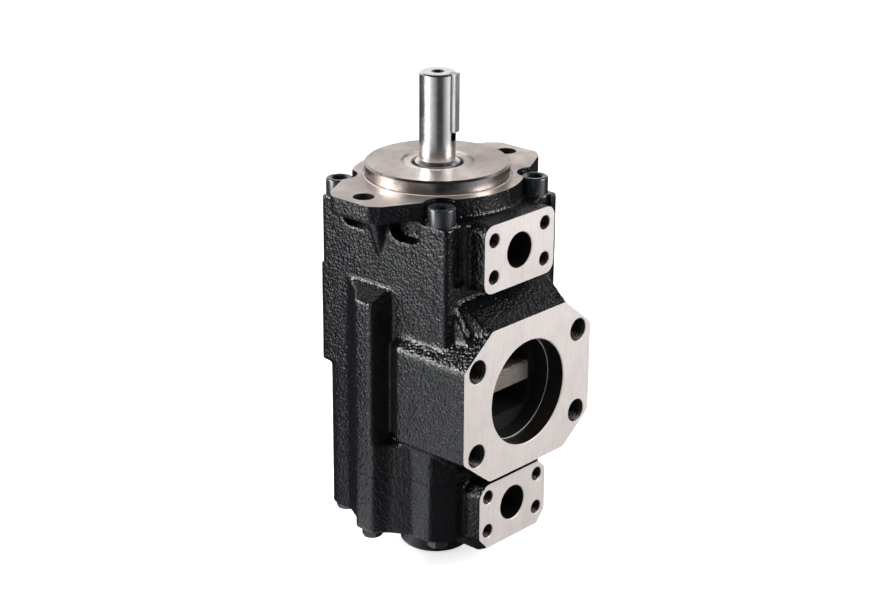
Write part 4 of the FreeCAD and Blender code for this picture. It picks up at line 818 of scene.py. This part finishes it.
def socket_screw():
    """Cap screw with a hexagon socket; its seat is at the origin."""
    shank, head, tip, top, count = 6.35, 9.525, -80.0, 12.7, 60
    mouth_flats, flats, foot, point = 9.7, 9.525, 6.4, 4.6
    bm = bmesh.new()
    rows = circle_rows([(0.0, tip), (5.4, tip), (shank, -79.0), (shank, -0.6), (7.0, 0.0),
                        (9.1, 0.0), (head, 0.4), (head, 11.5), (9.35, 12.1), (8.85, 12.55),
                        (8.3, top), (6.3, top)], count)
    rows += [hexagon_row(mouth_flats, 12.0, count), hexagon_row(flats, foot, count)]
    rings(bm, rows + circle_rows([(0.0, point)], count), count, CENTRE, finish=0)
    return to_object("socket_screw", bm)


def hexagon_screw():
    """Hexagon screw with a washer face; its seat is at the origin and its head points down."""
    shank, flats, tip, top, face, count = 4.0, 13.0, -66.0, 6.4, 6.1, 72
    washer_radius, washer = 6.3, 0.4
    bm = bmesh.new()
    rows = circle_rows([(0.0, tip), (3.3, tip), (shank, -65.2), (shank, 0.0),
                        (washer_radius, 0.0), (washer_radius, washer)], count)
    rows += [hexagon_row(flats, washer, count), hexagon_row(flats, top, count, chamfer_from=face)]
    rows += circle_rows([(face, top), (0.0, top)], count)
    rings(bm, rows, count, turned_to((0.0, 0.0, -1.0), (0.0, 0.0, 0.0)), finish=0)
    return to_object("hexagon_screw", bm)


def screws(name, model, places, height, node, seed):
    """One piece from all screws of a joint; the model is used up."""
    bm = bmesh.new()
    for x, y in places:
        bm.verts.new((x, y, height))
    row = to_object(name, bm, recalc=False)
    setting = row.modifiers.new("set", "NODES")
    setting.node_group = SCREW_SET
    set_inputs(setting, Screw=model, Seed=seed, Material=MATERIALS["dark_steel"])
    bake_modifiers(row)
    bpy.data.objects.remove(model)
    crisp(row)
    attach(row, "housing")
    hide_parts(node)


screws("flange_screws", socket_screw(), FRONT_SCREWS, HEAD_SEAT, "front_screws", seed=3)
screws("cap_screws", hexagon_screw(), REAR_SCREWS, CAP_FACE, "rear_screws", seed=5)


# Light, floor and camera, in metres

LAMP_TARGET = (0.0, 0.0, -0.10)
LAMPS = {
    "left_box": dict(place=(-0.80, 0.42, 0.16), size=(0.42, 0.8), power=8.0),
    "left_key": dict(place=(-0.70, 0.73, 0.53), size=(0.4, 0.3), power=11.0),
    "right_box": dict(place=(0.42, -0.79, 0.28), size=(0.5, 0.5), power=8.0),
    "top_right": dict(place=(0.85, -0.45, 0.65), size=(0.3, 0.3), power=0.5),
}


def area(name, place, size, power):
    """Rectangular lamp that looks at the pump and isn't seen itself."""
    lamp = bpy.data.lights.new(name, "AREA")
    lamp.shape = "RECTANGLE"
    lamp.size, lamp.size_y = size
    lamp.energy = power
    thing = bpy.data.objects.new(name, lamp)
    scene.collection.objects.link(thing)
    thing.location = place
    thing.rotation_mode = "QUATERNION"
    thing.rotation_quaternion = (Vector(place) - Vector(LAMP_TARGET)).to_track_quat("Z", "Y")
    thing.visible_camera = False


def white_room():
    """World that the camera sees white. Mirrored in the pump, it is bright behind the pump only.

    Behind is the way the camera looks. The light grows between two shares of it and falls off
    between two heights of the sky."""
    behind_x, behind_y = 0.26, 0.97
    aside, straight, wall_top, ceiling_from = 0.1, 0.55, 0.4, 0.62
    dimmest, brightest, ceiling, ambient = 0.06, 1.22, 0.08, 0.52
    world = bpy.data.worlds.new("studio")
    scene.world = world
    world.use_nodes = True
    graph = Graph(world.node_tree)
    ray = graph.node("ShaderNodeLightPath").outputs
    seen = graph.math("MAXIMUM", ray["Is Camera Ray"], ray["Is Glossy Ray"])
    seen = graph.math("MAXIMUM", seen, ray["Is Transmission Ray"])
    toward = graph.node("ShaderNodeSeparateXYZ", Vector=graph.node(
        "ShaderNodeTexCoord").outputs["Generated"]).outputs
    behind = graph.total((toward["X"], behind_x), (toward["Y"], behind_y))
    behind = graph.math("MAXIMUM", graph.level(behind, aside, straight, dimmest, brightest),
                        ray["Is Camera Ray"])
    height = graph.level(toward["Z"], wall_top, ceiling_from, 1.0, ceiling)
    background = graph.product(height, behind)
    unseen = graph.math("SUBTRACT", 1.0, seen)
    strength = graph.math("ADD", graph.product(seen, background), graph.product(unseen, ambient))
    sky = world.node_tree.nodes["Background"].inputs
    sky["Color"].default_value = (1.0, 1.0, 1.0, 1.0)
    graph.feed(sky["Strength"], strength)


def floor_white():
    """White paper. Mirrored in the pump, it is dark apart from two white cards.

    One card lies at the left and one farther off at the right. They give the paint and the metal
    their contrast."""
    left_light, right_light, dark_light, paper_light, cloud_scale = 1.6, 1.5, 0.05, 0.6, 6.0
    made = bpy.data.materials.new("floor_white")
    made.use_nodes = True
    graph = Graph(made.node_tree)
    paper = made.node_tree.nodes["Principled BSDF"]
    paper.inputs["Base Color"].default_value = (0.9, 0.9, 0.9, 1.0)
    paper.inputs["Roughness"].default_value = 0.8
    paper.inputs["Emission Color"].default_value = (1.0, 1.0, 1.0, 1.0)
    ray = graph.node("ShaderNodeLightPath").outputs
    graph.feed(paper.inputs["Emission Strength"],
               graph.level(ray["Is Camera Ray"], 0.0, 1.0, 0.0, paper_light))
    place = graph.node("ShaderNodeTexCoord").outputs["Object"]
    spot = graph.node("ShaderNodeSeparateXYZ", Vector=place).outputs
    turn = graph.math("DEGREES", graph.math("ARCTAN2", spot["Y"], spot["X"]))
    turn = graph.math("MODULO", graph.math("ADD", turn, 360.0), 360.0)
    reach = graph.node("ShaderNodeVectorMath", {"operation": "LENGTH"}, i0=place).outputs["Value"]

    def sector(rise, fall):
        """Light that rises and falls between angles around the pump, in degrees."""
        return graph.product(graph.level(turn, *rise), graph.level(turn, *fall, 1.0, 0.0))

    clouds = graph.level(graph.noise(place, cloud_scale, 2.0), 0.35, 0.65, 0.3, 1.7)
    dimmer_near = graph.level(reach, 0.15, 0.75, 0.35, 1.0)
    far_only = graph.level(reach, 0.78, 0.95)
    left = graph.product(sector((134.0, 157.0), (162.0, 222.0)), clouds, dimmer_near)
    right = graph.product(sector((252.0, 300.0), (303.0, 320.0)), far_only)
    cards = graph.total((left, left_light), (right, right_light))
    mirrored = graph.node("ShaderNodeEmission", Color=(0.92, 0.95, 1.0, 1.0),
                          Strength=graph.math("ADD", cards, dark_light))
    mixed = graph.node("ShaderNodeMixShader", i0=ray["Is Glossy Ray"], i1=paper.outputs[0],
                       i2=mirrored.outputs[0])
    graph.feed(made.node_tree.nodes["Material Output"].inputs["Surface"], mixed.outputs[0])
    return made


def lay_floor():
    height, half = -0.2835, 4.0
    bm = bmesh.new()
    for x, y in ((-half, -half), (half, -half), (half, half), (-half, half)):
        bm.verts.new((x / MM, y / MM, height / MM))
    bm.faces.new(bm.verts)
    floor = to_object("floor", bm, [floor_white()], recalc=False)


def place_camera():
    """Camera of the photograph; its focal length and centre are in the picture's pixels."""
    azimuth, elevation, roll = math.radians(-47.58), math.radians(20.72), math.radians(0.30)
    aim, distance = (0.0, 0.0, -0.090), 1.48474
    wide, high, focal, centre_x, centre_y = 870.0, 606.0, 2094.24, 436.67, 294.33
    sensor = 36.0
    back = Vector((math.sin(azimuth) * math.cos(elevation),
                   -math.cos(azimuth) * math.cos(elevation), math.sin(elevation)))
    level = Vector((math.cos(azimuth), math.sin(azimuth), 0.0))
    above = back.cross(level)
    right = math.cos(roll) * level + math.sin(roll) * above
    upward = math.cos(roll) * above - math.sin(roll) * level
    camera = bpy.data.objects.new("camera", bpy.data.cameras.new("camera"))
    scene.collection.objects.link(camera)
    camera.location = Vector(aim) + back * distance
    camera.rotation_mode = "QUATERNION"
    camera.rotation_quaternion = Matrix((right, upward, back)).transposed().to_quaternion()
    lens = camera.data
    lens.sensor_width = sensor
    lens.lens = focal / wide * sensor
    lens.shift_x = (wide / 2 - centre_x) / wide
    lens.shift_y = (centre_y - high / 2) / wide
    scene.camera = camera


for name, lamp in LAMPS.items():
    area(name, **lamp)
white_room()
lay_floor()
place_camera()
scene.view_settings.view_transform = "Standard"
